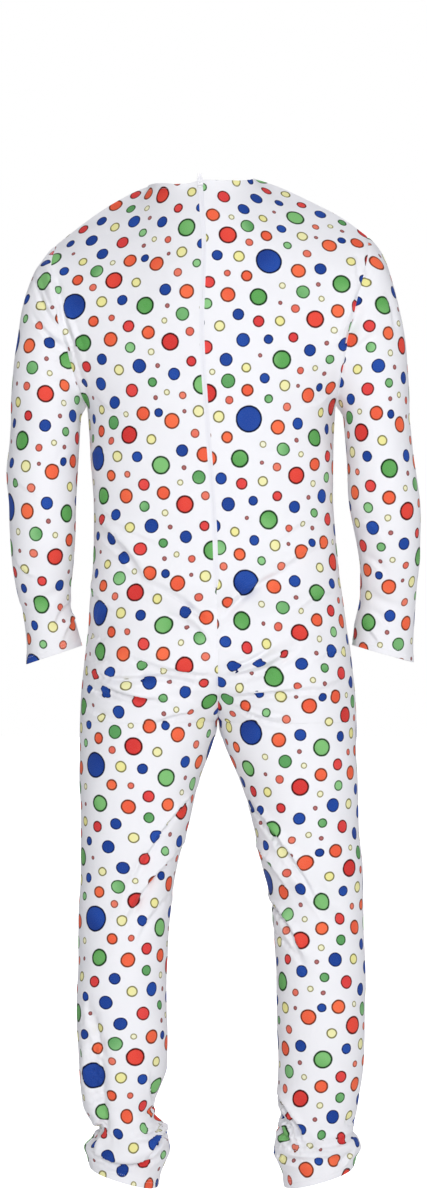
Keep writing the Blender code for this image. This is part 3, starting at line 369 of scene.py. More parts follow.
# Folds that show only from near, or that sharpen the larger ones. A fold leans by lean,
# from -1 to 1, so that one of its sides is steep
SMALL_FOLD_COLUMNS = FOLD_COLUMNS + ("lean",)
SMALL_FOLDS = (
    # Under the left shoulder blade and down to the seat, on both sides of the zip
    ("back", -172, -505, -96, -592, -8, 14, 4.8, 0.5),
    ("back", -96, -592, -2, -655, -6, 15, 6.4, 0.5),
    ("back", -96, -600, -4, -664, -6, 8, -5, 0.5),
    ("back", -170, -530, -112, -590, -6, 10, -3.6, 0.5),
    ("back", -70, -640, 0, -690, -10, 12, 5.9, 0.5),
    ("back", -66, -648, -2, -698, -10, 8, -4.8, 0.5),
    ("back", -172, -484, -60, -546, 8, 12, 3.1, 0.5),
    ("back", 100, -576, 4, -650, 8, 14, 6.2, -0.5),
    ("back", 92, -588, 6, -660, 8, 8, -4.8, 0.5),
    ("back", 172, -540, 96, -582, 8, 13, 4.2, -0.5),
    ("back", 30, -652, 4, -688, 4, 9, 4.8, -0.5),
    ("back", 168, -500, 92, -540, 8, 12, 2.8, -0.5),
    ("back", 178, -612, 120, -640, 6, 11, 3.4, -0.5),
    ("back", -184, -600, -140, -640, 6, 10, 3.4, 0.5),
    # The creases under the seat, on the left
    ("back", -122, -706, -2, -733, 5, 10, 7, 0.6),
    ("back", -120, -713, -2, -739, 5, 7.5, -5.6, 0.5),
    ("back", -180, -733, -78, -734, 3, 10, 6.4, 0.6),
    ("back", -184, -741, -74, -741, 3, 7.5, -5.6, 0.5),
    ("back", -84, -738, -18, -752, 2, 8, -6, 0.5),
    ("back", -170, -745, -74, -770, 4, 8, 6, 0.6),
    ("back", -168, -751, -76, -776, 4, 7, -5.2, 0.5),
    ("back", -186, -752, -140, -772, 3, 8, -5.6, 0.5),
    ("back", -190, -706, -150, -716, 3, 8, -4.5, 0.5),
    ("back", -188, -676, -156, -684, 3, 8, -3.9, 0.5),
    ("back", -190, -782, -140, -800, 3, 9, -3.9, 0.5),
    ("back", -88, -806, -22, -788, -5, 10, 4.2, 0.6),
    ("back", -120, -824, -40, -800, -5, 9, -3.1, 0.5),
    # The creases under the seat, on the right
    ("back", 12, -722, 84, -690, 5, 9, 6.4, 0.6),
    ("back", 12, -729, 84, -698, 5, 7.5, -5.6, 0.5),
    ("back", 16, -733, 118, -690, 9, 9, 6.7, 0.6),
    ("back", 16, -741, 122, -700, 9, 7.5, -5.6, 0.5),
    ("back", 20, -748, 98, -722, 5, 8, -5, 0.5),
    ("back", 26, -764, 172, -752, -4, 10, 5.6, 0.6),
    ("back", 26, -772, 172, -759, -4, 7.5, -5.6, 0.5),
    ("back", 28, -780, 110, -808, 6, 9, -4.8, 0.5),
    ("back", 30, -774, 106, -798, 6, 10, 4.2, -0.5),
    ("back", 196, -700, 150, -716, 3, 8, -3.9, 0.5),
    ("back", 200, -744, 160, -756, 3, 8, -3.4, 0.5),
    # Beside the armholes
    ("back", -246, -128, -236, -186, -4, 12, 4.8, -0.5),
    ("back", -240, -140, -224, -236, -5, 8, -5.8, 0.5),
    ("back", -232, -190, -196, -306, -4, 8, -6, 0.5),
    ("back", -222, -190, -186, -300, -4, 11, 5.1, -0.5),
    ("back", -206, -270, -188, -346, -3, 7.5, -5.6, 0.5),
    ("back", -268, -150, -230, -226, 5, 8, -5.1, 0.5),
    ("back", -262, -146, -224, -222, 5, 10, 4.1, -0.5),
    ("back", -266, -208, -210, -262, 6, 8, -4.4, 0.5),
    ("back", -264, -200, -206, -252, 6, 10, 3.4, 0.5),
    ("back", -242, -264, -208, -264, 2, 7.5, -3.2, 0.5),
    ("back", -238, -275, -202, -277, 2, 7.5, -2.8, 0.5),
    ("back", -250, -290, -200, -300, 3, 8, -2.1, 0.5),
    ("back", 226, -150, 204, -216, 4, 8, -5.3, 0.5),
    ("back", 216, -200, 192, -270, 3, 8, -6, 0.5),
    ("back", 206, -196, 182, -262, 3, 10, 4.1, 0.5),
    ("back", 200, -256, 186, -332, 3, 7.5, -5.3, 0.5),
    ("back", 214, -110, 216, -164, 2, 9, -2.8, 0.5),
    ("back", 230, -112, 228, -168, 2, 9, -2.3, 0.5),
    ("back", 256, -176, 268, -228, -3, 9, -3, 0.5),
    ("back", 244, -232, 206, -262, 4, 8, -2.8, 0.5),
    ("back", 180, -310, 128, -345, -6, 10, 2.1, 0.4),
    ("back", -176, -318, -120, -352, 6, 10, 2.1, 0.4),
    # The elbows and cuffs
    ("back", -300, -436, -250, -470, 6, 10, 2.3, 0.5),
    ("back", -214, -404, -236, -440, 4, 9, 2.1, 0.5),
    ("back", -296, -560, -262, -590, 5, 9, 2.8, 0.5),
    ("back", 218, -508, 258, -540, -5, 9, 2.5, -0.5),
    ("back", 226, -560, 256, -590, -4, 9, -2.8, 0.5),
    ("back", 232, -640, 262, -668, -4, 8, -3.4, 0.5),
    ("back", 228, -664, 250, -692, -3, 7, 3.6, 0.5),
    ("back", -212, -628, -236, -664, 4, 8, -3.9, 0.5),
    ("back", -206, -648, -226, -684, 3, 7, 4.2, -0.5),
    # Behind the knees
    ("back", -24, -905, -124, -1048, 7, 10, 6.2, -0.6),
    ("back", -32, -912, -128, -1056, 7, 7.5, -5.6, 0.5),
    ("back", -42, -985, -130, -1104, 8, 9, 5.6, -0.6),
    ("back", -48, -992, -134, -1110, 8, 7.5, -5.6, 0.5),
    ("back", -60, -1060, -112, -1130, 5, 8, -3.6, 0.5),
    ("back", 52, -918, 168, -1086, -6, 10, 6.4, 0.6),
    ("back", 46, -926, 160, -1092, -6, 7.5, -5.6, 0.5),
    ("back", 64, -990, 112, -1058, -5, 8, 4.8, 0.5),
    ("back", 78, -1064, 130, -1142, -7, 8, 5.9, 0.6),
    ("back", 72, -1070, 124, -1146, -7, 7.5, -5.6, 0.5),
    ("back", 88, -1120, 140, -1180, -5, 9, -3.1, 0.5),
    # Down the left shin
    ("back", -186, -1222, -162, -1300, 3, 12, -6.8, 0.5),
    ("back", -166, -1284, -160, -1404, 3, 12, -7.6, 0.5),
    ("back", -180, -1262, -174, -1398, 2, 14, 6.4, -0.5),
    ("back", -92, -1330, -84, -1388, 2, 9, -4.2, 0.5),
    # The left hem
    ("back", -164, -1398, -182, -1432, 3, 8, -6.8, 0.5),
    ("back", -152, -1408, -176, -1446, 3, 9, 7, 0.5),
    ("back", -178, -1444, -88, -1452, 9, 9, 7.4, 0.6),
    ("back", -176, -1451, -86, -1458, 9, 7.5, -6.4, 0.5),
    ("back", -118, -1418, -64, -1398, 5, 9, 7.6, 0.6),
    ("back", -116, -1425, -64, -1405, 5, 7.5, -6.4, 0.5),
    ("back", -100, -1448, -62, -1412, -4, 8, 6.8, 0.6),
    ("back", -96, -1454, -60, -1420, -4, 7.5, -6.4, 0.5),
    ("back", -104, -1390, -66, -1372, 4, 8, -5.8, 0.5),
    ("back", -172, -1462, -100, -1470, 3, 8, -4.2, 0.5),
    ("back", -110, -1466, -76, -1452, 3, 8, -4.5, 0.5),
    # The right hem
    ("back", 92, -1358, 134, -1428, -6, 8, 6.8, 0.6),
    ("back", 88, -1366, 130, -1432, -6, 7.5, -6.4, 0.5),
    ("back", 88, -1392, 122, -1432, -4, 7.5, -6.4, 0.5),
    ("back", 86, -1412, 116, -1442, -4, 8, -6.4, 0.5),
    ("back", 112, -1422, 212, -1418, 7, 9, 7.6, 0.7),
    ("back", 108, -1430, 212, -1426, 7, 7.5, -6.4, 0.5),
    ("back", 96, -1438, 176, -1442, 4, 8, -6.4, 0.5),
    ("back", 90, -1450, 130, -1460, 3, 8, -5.4, 0.5),
    ("back", 182, -1464, 210, -1446, 3, 8, -6.4, 0.5),
    ("back", 196, -1396, 214, -1408, 2, 8, -4.8, 0.5),
    # The front, which the photo does not show, has folds like those of the back
    ("front", -150, -700, -10, -790, 8, 11, 4.2, 0.5),
    ("front", 150, -700, 12, -790, -8, 11, 4.2, -0.5),
    ("front", -120, -640, -8, -730, 8, 10, 3.5, 0.5),
    ("front", 118, -650, 10, -735, -8, 10, 3.5, -0.5),
    ("front", -140, -736, -12, -806, 6, 8, -4.2, 0.5),
    ("front", 142, -734, 14, -804, -6, 8, -4.2, 0.5),
    ("front", -120, -420, -20, -470, 8, 11, 2.8, 0.5),
    ("front", 130, -430, 24, -482, -8, 11, 2.8, -0.5),
    ("front", -236, -160, -186, -300, -6, 8, -5.8, 0.5),
    ("front", -226, -160, -176, -290, -6, 10, 4.2, 0.6),
    ("front", 230, -160, 180, -300, 6, 8, -5.5, 0.5),
    ("front", 220, -160, 170, -290, 6, 10, 4.2, -0.6),
    ("front", -176, -300, -100, -350, 6, 10, 3, 0.5),
    ("front", 176, -300, 100, -352, -6, 10, 3, -0.5),
    ("front", -285, -455, -220, -488, 5, 9, 3, 0.5),
    ("front", 290, -462, 222, -492, -5, 9, 3, -0.5),
    ("front", -120, -1010, -60, -1080, -6, 9, 4, 0.5),
    ("front", 130, -1016, 78, -1088, 6, 9, 4, -0.5),
    ("front", -180, -1372, -84, -1392, 6, 8, 5.2, 0.6),
    ("front", -186, -1418, -88, -1444, 6, 8, 5.2, -0.6),
    ("front", -178, -1396, -92, -1418, 5, 7.5, -4.8, 0.5),
    ("front", 96, -1374, 200, -1396, -6, 8, 5.2, 0.6),
    ("front", 98, -1424, 206, -1450, -6, 8, 5.2, -0.6),
    ("front", 100, -1400, 202, -1424, -5, 7.5, -4.8, 0.5),
)

# The repeat of the print, and its spots. Sizes are in millimetres, inks are linear colours
REPEAT = {"width": 222.0, "height": 236.0}
PRINT_SOFT = 0.3
PRINT_WOBBLE = 0.8
WOBBLE_SCALE = 0.16
FAR_AWAY = 1000.0
# The grain of the ink and the places where it is paler: the noise's scale, and where it starts and ends
GRAIN = {"scale": 1.1, "from": 0.38, "to": 0.72}
PALER = {"scale": 0.011, "from": 0.40, "to": 0.62}
LINE_CORE = 0.25
LINE_GRAIN = 0.15
SPOT_KIND_COLUMNS = ("ink", "pale", "line", "line_width", "thin")
SPOT_KINDS = {
    "big blue": ((0.003, 0.04, 0.27), (0.008, 0.062, 0.36), (0.002, 0.004, 0.02), 2.0, 0.05),
    "big green": ((0.09, 0.36, 0.07), (0.2, 0.52, 0.16), (0.004, 0.018, 0.005), 2.2, 0.1),
    "big red": ((0.66, 0.03, 0.025), (0.8, 0.06, 0.035), (0.03, 0.003, 0.003), 2.1, 0.06),
    "orange": ((0.84, 0.1, 0.035), (0.92, 0.15, 0.05), (0.1, 0.02, 0.006), 1.8, 0.08),
    "red": ((0.7, 0.035, 0.035), (0.8, 0.06, 0.05), (0.08, 0.006, 0.006), 1.6, 0.07),
    "blue": ((0.003, 0.045, 0.29), (0.008, 0.065, 0.37), (0.003, 0.01, 0.07), 1.3, 0.05),
    "yellow": ((0.84, 0.79, 0.3), (0.86, 0.83, 0.42), (0.13, 0.12, 0.025), 1.6, 0.12),
    "green": ((0.09, 0.34, 0.09), (0.26, 0.58, 0.23), (0.015, 0.07, 0.015), 1.5, 0.1),
    "small orange": ((0.78, 0.13, 0.08), (0.84, 0.2, 0.12), (0.22, 0.05, 0.03), 1.3, 0.1),
    "tiny yellow": ((0.85, 0.83, 0.52), (0.86, 0.85, 0.62), (0.26, 0.24, 0.09), 1.3, 0.2),
    "tiny red": ((0.4, 0.1, 0.09), (0.44, 0.13, 0.12), (0.2, 0.06, 0.06), 1.2, 0.15),
}

# How wide each spot is, and its place across and up in the repeat
SPOTS = {
    "big blue": ((39, 87, 218),),
    "big green": ((28, 125, 73), (26, 78, 160), (27, 197, 199)),
    "big red": ((27, 22, 12), (26, 165, 140)),
    "orange": (
        (21, 219, 41), (22, 33, 157), (20, 196, 158), (22, 132, 210), (23, 176, 26),
        (18, 80, 23), (17, 57, 189),
    ),
    "red": ((15, 137, 108), (17, 83, 124), (18, 3, 172), (20, 11, 77)),
    "blue": (
        (15, 103, 43), (19, 43, 63), (18, 165, 93), (14, 101, 100), (21, 216, 111),
        (17, 52, 130), (16, 10, 214), (18, 164, 218), (20, 64, 94), (13, 195, 40),
    ),
    "yellow": (
        (15, 209, 2), (17, 135, 36), (14, 74, 55), (16, 27, 110), (15, 114, 129),
        (17, 42, 217),
    ),
    "green": ((13, 113, 14), (21, 50, 33), (14, 199, 85), (16, 4, 140), (20, 142, 178)),
    "small orange": ((13, 143, 5), (10, 28, 189), (12, 55, 6), (11, 156, 61), (13, 134, 151)),
    "tiny yellow": ((10, 111, 183), (9, 25, 43), (9, 179, 68), (10, 195, 129), (9, 170, 172)),
    "tiny red": (
        (7, 197, 62), (6, 92, 75), (7, 188, 108), (6, 111, 156), (7, 163, 193),
        (6, 156, 38),
    ),
}

# Where the repeat starts on each panel
PRINT_START = {
    "back_left": (30.0, 60.0), "back_right": (150.0, 12.0),
    "front_left": (90.0, 140.0), "front_right": (10.0, 180.0),
    "sleeve_left": (64.0, 110.0), "sleeve_right": (118.0, 40.0),
}

# The knit: ribs and rows in millimetres, how deep they are, and how deep the fine creasing is
KNIT = {"rib": 1.1, "row": 0.9, "depth": 0.035, "creasing": 0.5, "creasing_scale": 0.05}
CLOTH_WHITE = (0.86, 0.86, 0.885)
CLOTH_INSIDE = (0.80, 0.80, 0.84)
INSIDE_SHARE = 0.72
CLOTH_FINISH = {
    "Roughness": 0.52, "Specular IOR Level": 0.06,
    "Sheen Weight": 0.012, "Sheen Roughness": 0.4,
}

# The plain finishes: colour, roughness and coat
FINISHES = {
    "white thread": ((0.86, 0.86, 0.9), 0.6, 0.0),
    "zip tape": ((0.83, 0.83, 0.87), 0.8, 0.0),
    "zip teeth": ((0.80, 0.80, 0.84), 0.35, 0.0),
    "white enamel": ((0.84, 0.84, 0.87), 0.25, 0.4),
    "pale floor": ((0.92, 0.92, 0.92), 0.9, 0.0),
}

# How deep under the cloth the tapes lie, and how far they reach from the edge of the zip
TAPE_DEPTH = 0.8
TAPE_REACH = 11.0
TAPE_LINES = (0.2, 1.5, 2.8)
TEETH = {"pitch": 1.5, "width": 3.2, "height": 1.05, "depth": 0.9, "stagger": 0.3, "lift": -1.1}
TOOTH_TOP = (0.9, 0.7)

# The view and the studio
CAMERA = {"place": (0.0007, -4.5, -0.62), "lens": 90.49}
FLOOR_Z = -1.535
FLOOR_WIDTH = 30
FLOOR_GLOW = 1.0
WORLD_STRENGTH = (0.33, 0.56)
WORLD_COLOUR = (0.95, 0.95, 1.0, 1.0)
LIGHTS = (
    ("key_light", (0.4, -5.2, 0.5), (0, 0, -0.75), (1.6, 1.6), 108.0),
    ("top_light", (-0.2, -2.5, 2.6), (0, 0, -0.2), (2.0, 1.0), 18.0),
    ("leg_light", (0.3, -2.6, -1.3), (0, 0, -1.2), (1.2, 0.25), 5.5),
    ("far_side_light", (-0.8, 4.0, 2.4), (0, 0, -0.6), (1.6, 1.6), 80.0),
)


def column(table, names, name):
    """One named column of a table."""
    return np.array([row[names.index(name)] for row in table], float)


def smooth_between(at, places, values):
    """A smooth curve through values at places, which run either way, read at the points in at."""
    order = np.argsort(places)
    p, v = np.asarray(places, float)[order], np.asarray(values, float)[order]
    slope = np.diff(v) / np.diff(p)
    tangent = np.empty_like(v)
    tangent[0], tangent[-1] = slope[0], slope[-1]
    inside = slope[:-1] * slope[1:] > 0
    tangent[1:-1] = np.where(inside, 0.5 * (slope[:-1] + slope[1:]), 0.0)
    limit = 2.5 * np.minimum(np.abs(slope[:-1]), np.abs(slope[1:]))
    tangent[1:-1] = np.clip(tangent[1:-1], -limit, limit)
    at = np.clip(np.asarray(at, float), p[0], p[-1])
    i = np.clip(np.searchsorted(p, at, side="right") - 1, 0, len(p) - 2)
    h = p[i + 1] - p[i]
    t = (at - p[i]) / h
    return (
        (2 * t**3 - 3 * t**2 + 1) * v[i]
        + (t**3 - 2 * t**2 + t) * h * tangent[i]
        + (3 * t**2 - 2 * t**3) * v[i + 1]
        + (t**3 - t**2) * h * tangent[i + 1]
    )


def evenly(points, shares):
    """Points at the given shares of the length of a line of points."""
    steps = np.linalg.norm(np.diff(points, axis=0), axis=1)
    run = np.concatenate([[0.0], np.cumsum(steps)])
    run /= run[-1]
    return np.stack([np.interp(shares, run, points[:, k]) for k in range(3)], axis=1)


def stand(points):
    """Points of the straight suit moved into the wearer's stance."""
    z = points[..., 2]
    places = column(STANCE, STANCE_COLUMNS, "z")
    shift = smooth_between(z, places, column(STANCE, STANCE_COLUMNS, "shift"))
    turn = np.radians(smooth_between(z, places, column(STANCE, STANCE_COLUMNS, "turn")))
    x, y = points[..., 0], points[..., 1]
    across = shift + x * np.cos(turn) - y * np.sin(turn)
    beside, lifts = (column(SHOULDER_LIFT, LIFT_COLUMNS, name) for name in LIFT_COLUMNS)
    lift = smooth_between(across, beside, lifts)
    high = np.clip((z - LIFT_END_Z) / (LIFT_FULL_Z - LIFT_END_Z), 0, 1)
    lift = lift * high * high * (3 - 2 * high)
    return np.stack([across, x * np.sin(turn) + y * np.cos(turn), z + lift], axis=-1)


def half_section(table, face, z, shares):
    """A row of one half of the body or leg at height z, from its inner edge to the side seam."""
    places = column(table, HALF_COLUMNS, "z")
    inner, outer, reach, seam_y = (
        float(smooth_between(z, places, column(table, HALF_COLUMNS, name)))
        for name in ("inner", "outer", face, "seam_y")
    )
    above = max(0.0, z - CROTCH_Z)
    cleft = SEAT_CLEFT if face == "back" else FRONT_CLEFT
    start = 0.5 * math.pi * math.sqrt(min(1.0, above / cleft))
    blend = min(1.0, above / SEAT_CLEFT)
    power = LEG_POWER + (BODY_POWER - LEG_POWER) * blend
    # The dense end near the inner edge keeps the tight turn there
    angle = start + (math.pi - start) * np.linspace(0, 1, 181) ** 1.3
    across = np.sign(np.cos(angle)) * np.abs(np.cos(angle)) ** (2 / power)
    out = np.abs(np.sin(angle)) ** (2 / power)
    if z > CROTCH_Z:
        half = outer / (1 + across[0])
        middle = half * across[0]
    else:
        half, middle = (outer - inner) / 2, (outer + inner) / 2
    points = np.stack(
        [middle - half * across, seam_y + (reach - seam_y) * out, np.full_like(angle, z)],
        axis=1,
    )
    points = evenly(points, shares)
    # The two halves stay just apart beside the seam and below it
    seam = points[:1] * (0 if z > CROTCH_Z else 1, 1, 1)
    points[:, 0] = np.maximum(points[:, 0], LEG_GAP)
    if z >= CROTCH_Z:
        points[0] = seam[0]
    return points


def top_edge(face, shares):
    """The neck edge from the middle of the body to the shoulder seam, then that seam."""
    low = NECK_BACK if face == "back" else NECK_FRONT
    angle = np.linspace(0, math.pi / 2, 60)
    neck = np.stack(
        [
            NECK_HALF_WIDTH * np.sin(angle),
            NECK_POINT_Y + (low["y"] - NECK_POINT_Y) * np.cos(angle),
            low["z"] * np.cos(angle) ** low["power"],
        ],
        axis=1,
    )
    t = np.linspace(0, 1, 40)
    shoulder = np.stack(
        [
            NECK_HALF_WIDTH + (SHOULDER_POINT["x"] - NECK_HALF_WIDTH) * t,
            NECK_POINT_Y + (SHOULDER_POINT["y"] - NECK_POINT_Y) * t,
            SHOULDER_POINT["z"] * t**SHOULDER_POWER + SHOULDER_BOW * np.sin(math.pi * t),
        ],
        axis=1,
    )
    on_neck = shares <= NECK_SHARE
    return np.concatenate(
        [
            evenly(neck, shares[on_neck] / NECK_SHARE),
            evenly(shoulder, (shares[~on_neck] - NECK_SHARE) / (1 - NECK_SHARE)),
        ]
    )


def centre_edge(face, shares):
    """The middle of the body, from the neck edge down to the level of the armpits."""
    profile = BACK_PROFILE if face == "back" else FRONT_PROFILE
    z = np.linspace(profile[0][0], ARMPIT_Z, 80)
    y = smooth_between(z, column(profile, PROFILE_COLUMNS, "z"), column(profile, PROFILE_COLUMNS, "y"))
    return evenly(np.stack([0 * z, y, z], axis=1), shares)


def armhole_edge(face, shares):
    """The armhole, from the shoulder point down to the armpit."""
    table = ARMHOLE_BACK if face == "back" else ARMHOLE_FRONT
    corners = np.stack([column(table, ARMHOLE_COLUMNS, name) for name in ("x", "y", "z")], axis=1)
    run = np.concatenate([[0], np.cumsum(np.linalg.norm(np.diff(corners, axis=0), axis=1))])
    fine = np.linspace(0, run[-1], 160)
    line = np.stack([smooth_between(fine, run, corners[:, k]) for k in range(3)], axis=1)
    return evenly(line, shares)


def upper_rows(table, face, shares):
    """The rows above the armpits, filled in between their four edges."""
    v = np.linspace(0, 1, FINE_UPPER_ROWS + 1)[:, None, None]
    u = shares[None, :, None]
    top, bottom = top_edge(face, shares)[None], half_section(table, face, ARMPIT_Z, shares)[None]
    inner = centre_edge(face, v[:, 0, 0])[:, None]
    outer = armhole_edge(face, v[:, 0, 0])[:, None]
    corners = (
        (1 - u) * (1 - v) * top[:, :1]
        + u * (1 - v) * top[:, -1:]
        + (1 - u) * v * bottom[:, :1]
        + u * v * bottom[:, -1:]
    )
    return (1 - v) * top + v * bottom + (1 - u) * inner + u * outer - corners


def lower_heights():
    """Heights of the fine rows below the armpits, closest together just above the crotch."""
    body = np.arange(ARMPIT_Z - FINE_ROW_STEP, CROTCH_Z + SEAT_CLEFT, -FINE_ROW_STEP)
    seat = CROTCH_Z + SEAT_CLEFT * np.linspace(1, 0, 37) ** 1.7
    leg = np.linspace(CROTCH_Z, HEM_Z, round((CROTCH_Z - HEM_Z) / FINE_ROW_STEP) + 1)[1:]
    return np.concatenate([body, seat, leg])


def ease(grid, first, last, times):
    """Evens out the points inside a grid, from row first to row last. Its edges stay."""
    rows = slice(first, last)
    above, below = slice(first - 1, last - 1), slice(first + 1, last + 1)
    for _ in range(times):
        around = grid[above, 1:-1] + grid[below, 1:-1] + grid[rows, :-2] + grid[rows, 2:]
        grid[rows, 1:-1] = 0.5 * grid[rows, 1:-1] + 0.125 * around


def panel_grid(side, face):
    """The fine grid of one front or back panel, without folds. side is 1 right and -1 left."""
    table = RIGHT_HALF if side > 0 else LEFT_HALF
    shares = np.linspace(0, 1, FINE_COLUMNS + 1)
    upper = upper_rows(table, face, shares)
    lower = np.stack([half_section(table, face, z, shares) for z in lower_heights()])
    grid = np.concatenate([upper, lower])
    # The filled-in rows are eased, so that neither the corner of the neck nor the level of
    # the armpits leaves a line
    ease(grid, 1, FINE_UPPER_ROWS + EASE_BELOW, EASE_TIMES)
    if face == "back":
        open_half = ZIP_OPEN_HALF * np.clip((grid[:, :1, 2] - ZIP_END_Z) / ZIP_CLOSE_LENGTH, 0, 1)
        grid[:, :, 0] += open_half * np.clip(1 - shares[None] / NECK_SHARE, 0, 1) ** 2
    lift = np.clip((HEM_TILT_START_Z - grid[..., 2]) / (HEM_TILT_START_Z - HEM_Z), 0, 1)
    leg = grid[..., 2] < CROTCH_Z
    middle = 0.5 * (grid[:, :1, 0] + grid[:, -1:, 0])
    half = np.maximum(0.5 * (grid[:, -1:, 0] - grid[:, :1, 0]), 1.0)
    grid[..., 2] += np.where(leg, HEM_RISE * lift * (grid[..., 0] - middle) / half, 0.0)
    grid[..., 0] *= side
    return stand(grid)


def sleeve_grid(side, back, front):
    """The fine grid of a sleeve. Its columns start at the shoulder point and go round by the back."""
    upper = FINE_UPPER_ROWS + 1
    ring = np.concatenate([back[:upper, -1], front[: upper - 1, -1][::-1]])
    out = np.concatenate([
        back[:upper, -1] - back[:upper, -3],
        (front[: upper - 1, -1] - front[: upper - 1, -3])[::-1],
    ])
    out /= np.linalg.norm(out, axis=1)[:, None]
    table = RIGHT_SLEEVE if side > 0 else LEFT_SLEEVE
    places = column(table, SLEEVE_COLUMNS, "z")
    share = np.linspace(0, 1, len(ring))
    angle = 2 * math.pi * share

    def section(z):
        inner, outer, y, half_depth, rise = (
            float(smooth_between(z, places, column(table, SLEEVE_COLUMNS, name)))
            for name in ("inner", "outer", "y", "half_depth", "rise")
        )
        half = (outer - inner) / 2
        return np.stack(
            [
                SLEEVE_STANCE + side * ((outer + inner) / 2 + half * np.cos(angle)),
                y - half_depth * np.sin(angle),
                z - 0.5 * rise * np.cos(angle),
            ],
            axis=1,
        )

    first = section(places[0])
    down = np.array([0.0, 0.0, -1.0])
    under = np.sin(math.pi * share)[:, None] ** 4
    start = (1 - under) * out + under * np.array([0.7 * side, 0.0, -0.7])
    start /= np.linalg.norm(start, axis=1)[:, None]
    reach = np.linalg.norm(first - ring, axis=1)[:, None]
    s = np.linspace(0, 1, FINE_CAP_ROWS + 1)[:, None, None]
    cap = (
        (2 * s**3 - 3 * s**2 + 1) * ring
        + (s**3 - 2 * s**2 + s) * start * reach * CAP_DOWN
        + (3 * s**2 - 2 * s**3) * first
        + (s**3 - s**2) * down * reach * CAP_OUT
    )
    arm = [section(z) for z in np.arange(places[0] - FINE_ROW_STEP, places[-1] - 0.01, -FINE_ROW_STEP)]
    arm.append(section(places[-1]))
    return np.concatenate([cap, np.stack(arm)])


def grid_normals(grid, closed):
    """Outward directions at each point of a grid whose rows run across and columns run down."""
    if closed:
        wide = np.concatenate([grid[:, -2:-1], grid, grid[:, 1:2]], axis=1)
        along = wide[:, 2:] - wide[:, :-2]
    else:
        along = np.gradient(grid, axis=1)
    down = np.gradient(grid, axis=0)
    normal = np.cross(along, down)
    return normal / np.maximum(np.linalg.norm(normal, axis=-1, keepdims=True), 1e-9)


def averaged(grids, values):
    """The same values, made equal where two or more panels meet."""
    keys = {name: np.round(grid.reshape(-1, 3) * 20).astype(int) for name, grid in grids.items()}
    sums = {}
    for name, found in keys.items():
        for key, value in zip(map(tuple, found), values[name].reshape(len(found), -1)):
            total, count = sums.get(key, (0, 0))
            sums[key] = (total + value, count + 1)
    means = {key: total / count for key, (total, count) in sums.items()}
    return {
        name: np.array([means[key] for key in map(tuple, found)]).reshape(values[name].shape)
        for name, found in keys.items()
    }


def side_of(name):
    """1 for a piece on the wearer's right, and -1 on the left."""
    return 1 if name.endswith("right") else -1


def outward(grids):
    """Directions out of the cloth, shared along the seams. They are longer where it bends."""
    own = {}
    for name, grid in grids.items():
        turned = -1 if name.startswith("back") else 1
        own[name] = turned * side_of(name) * grid_normals(grid, name.startswith("sleeve"))
        if name.startswith("sleeve"):
            # At the armpit one sleeve meets two body panels, so it counts twice
            own[name][0, grid.shape[1] // 2] *= 2
    normals = averaged(grids, own)
    lengths = {}
    for name, normal in normals.items():
        normal /= np.maximum(np.linalg.norm(normal, axis=-1, keepdims=True), 1e-9)
        own[name] /= np.maximum(np.linalg.norm(own[name], axis=-1, keepdims=True), 1e-9)
        lean = (own[name] * normal).sum(axis=-1, keepdims=True)
        lengths[name] = 1 / np.maximum(lean, 1 / MITRE_LIMIT)
    lengths = averaged(grids, lengths)
    return {name: normal * lengths[name] for name, normal in normals.items()}


def fold_line(fold, surface):
    """The middle of a fold as points on the cloth, seen straight from the front or the back."""
    f = dict(zip(FOLD_COLUMNS, fold))
    t = np.linspace(0, 1, 24)
    start, end = np.array([f["x0"], f["z0"]], float), np.array([f["x1"], f["z1"]], float)
    across = np.array([end[1] - start[1], start[0] - end[0]])
    across /= np.linalg.norm(across)
    flat = start + (end - start) * t[:, None] + across * (f["bow"] * np.sin(math.pi * t))[:, None]
    near = [np.argmin(((surface[:, [0, 2]] - p) ** 2).sum(axis=1)) for p in flat]
    return np.stack([flat[:, 0], surface[near, 1], flat[:, 1]], axis=1), t


def sleeve_face(grid, face):
    """The points on the front or the back half of a sleeve."""
    middle = grid[:, :-1, 1].mean(axis=1)[:, None]
    keep = grid[..., 1] < middle if face == "back" else grid[..., 1] > middle
    return grid[keep]


def face_points(grids, face):
    """A sample of the points on the front or the back of the whole suit."""
    found = []
    for name, grid in grids.items():
        if name.startswith(face):
            found.append(grid.reshape(-1, 3)[::3])
        elif name.startswith("sleeve"):
            found.append(sleeve_face(grid, face)[::3])
    return np.concatenate(found)


def refined_line(values, at):
    """Values along the first axis of a grid, read smoothly at places between its rows."""
    ends = np.concatenate([2 * values[:1] - values[1:2], values, 2 * values[-1:] - values[-2:-1]])
    row = np.clip(np.floor(at).astype(int), 0, len(values) - 2)
    t = (at - row).reshape((-1,) + (1,) * (values.ndim - 1))
    a, b, c, d = (ends[row + k] for k in range(4))
    return 0.5 * (2 * b + (c - a) * t + (2 * a - 5 * b + 4 * c - d) * t**2 + (3 * b - a - 3 * c + d) * t**3)


def refined(values, rows, columns):
    """A grid read smoothly at finer rows and columns."""
    across = refined_line(values, rows)
    return refined_line(across.swapaxes(0, 1), columns).swapaxes(0, 1)


def fine_places(count, per_step, ending=()):
    """Places of the finer rows or columns, with more of them beside each edge and before an ending hem."""
    inner = np.linspace(0, count - 1, (count - 1) * per_step + 1)[1:-1]
    near = np.array(EDGE_PLACES)
    last = count - 1 - (np.array(ending) if len(ending) else near)[::-1]
    return np.concatenate([near, inner[(inner > near[-1] + 0.1) & (inner < last[0] - 0.1)], last])


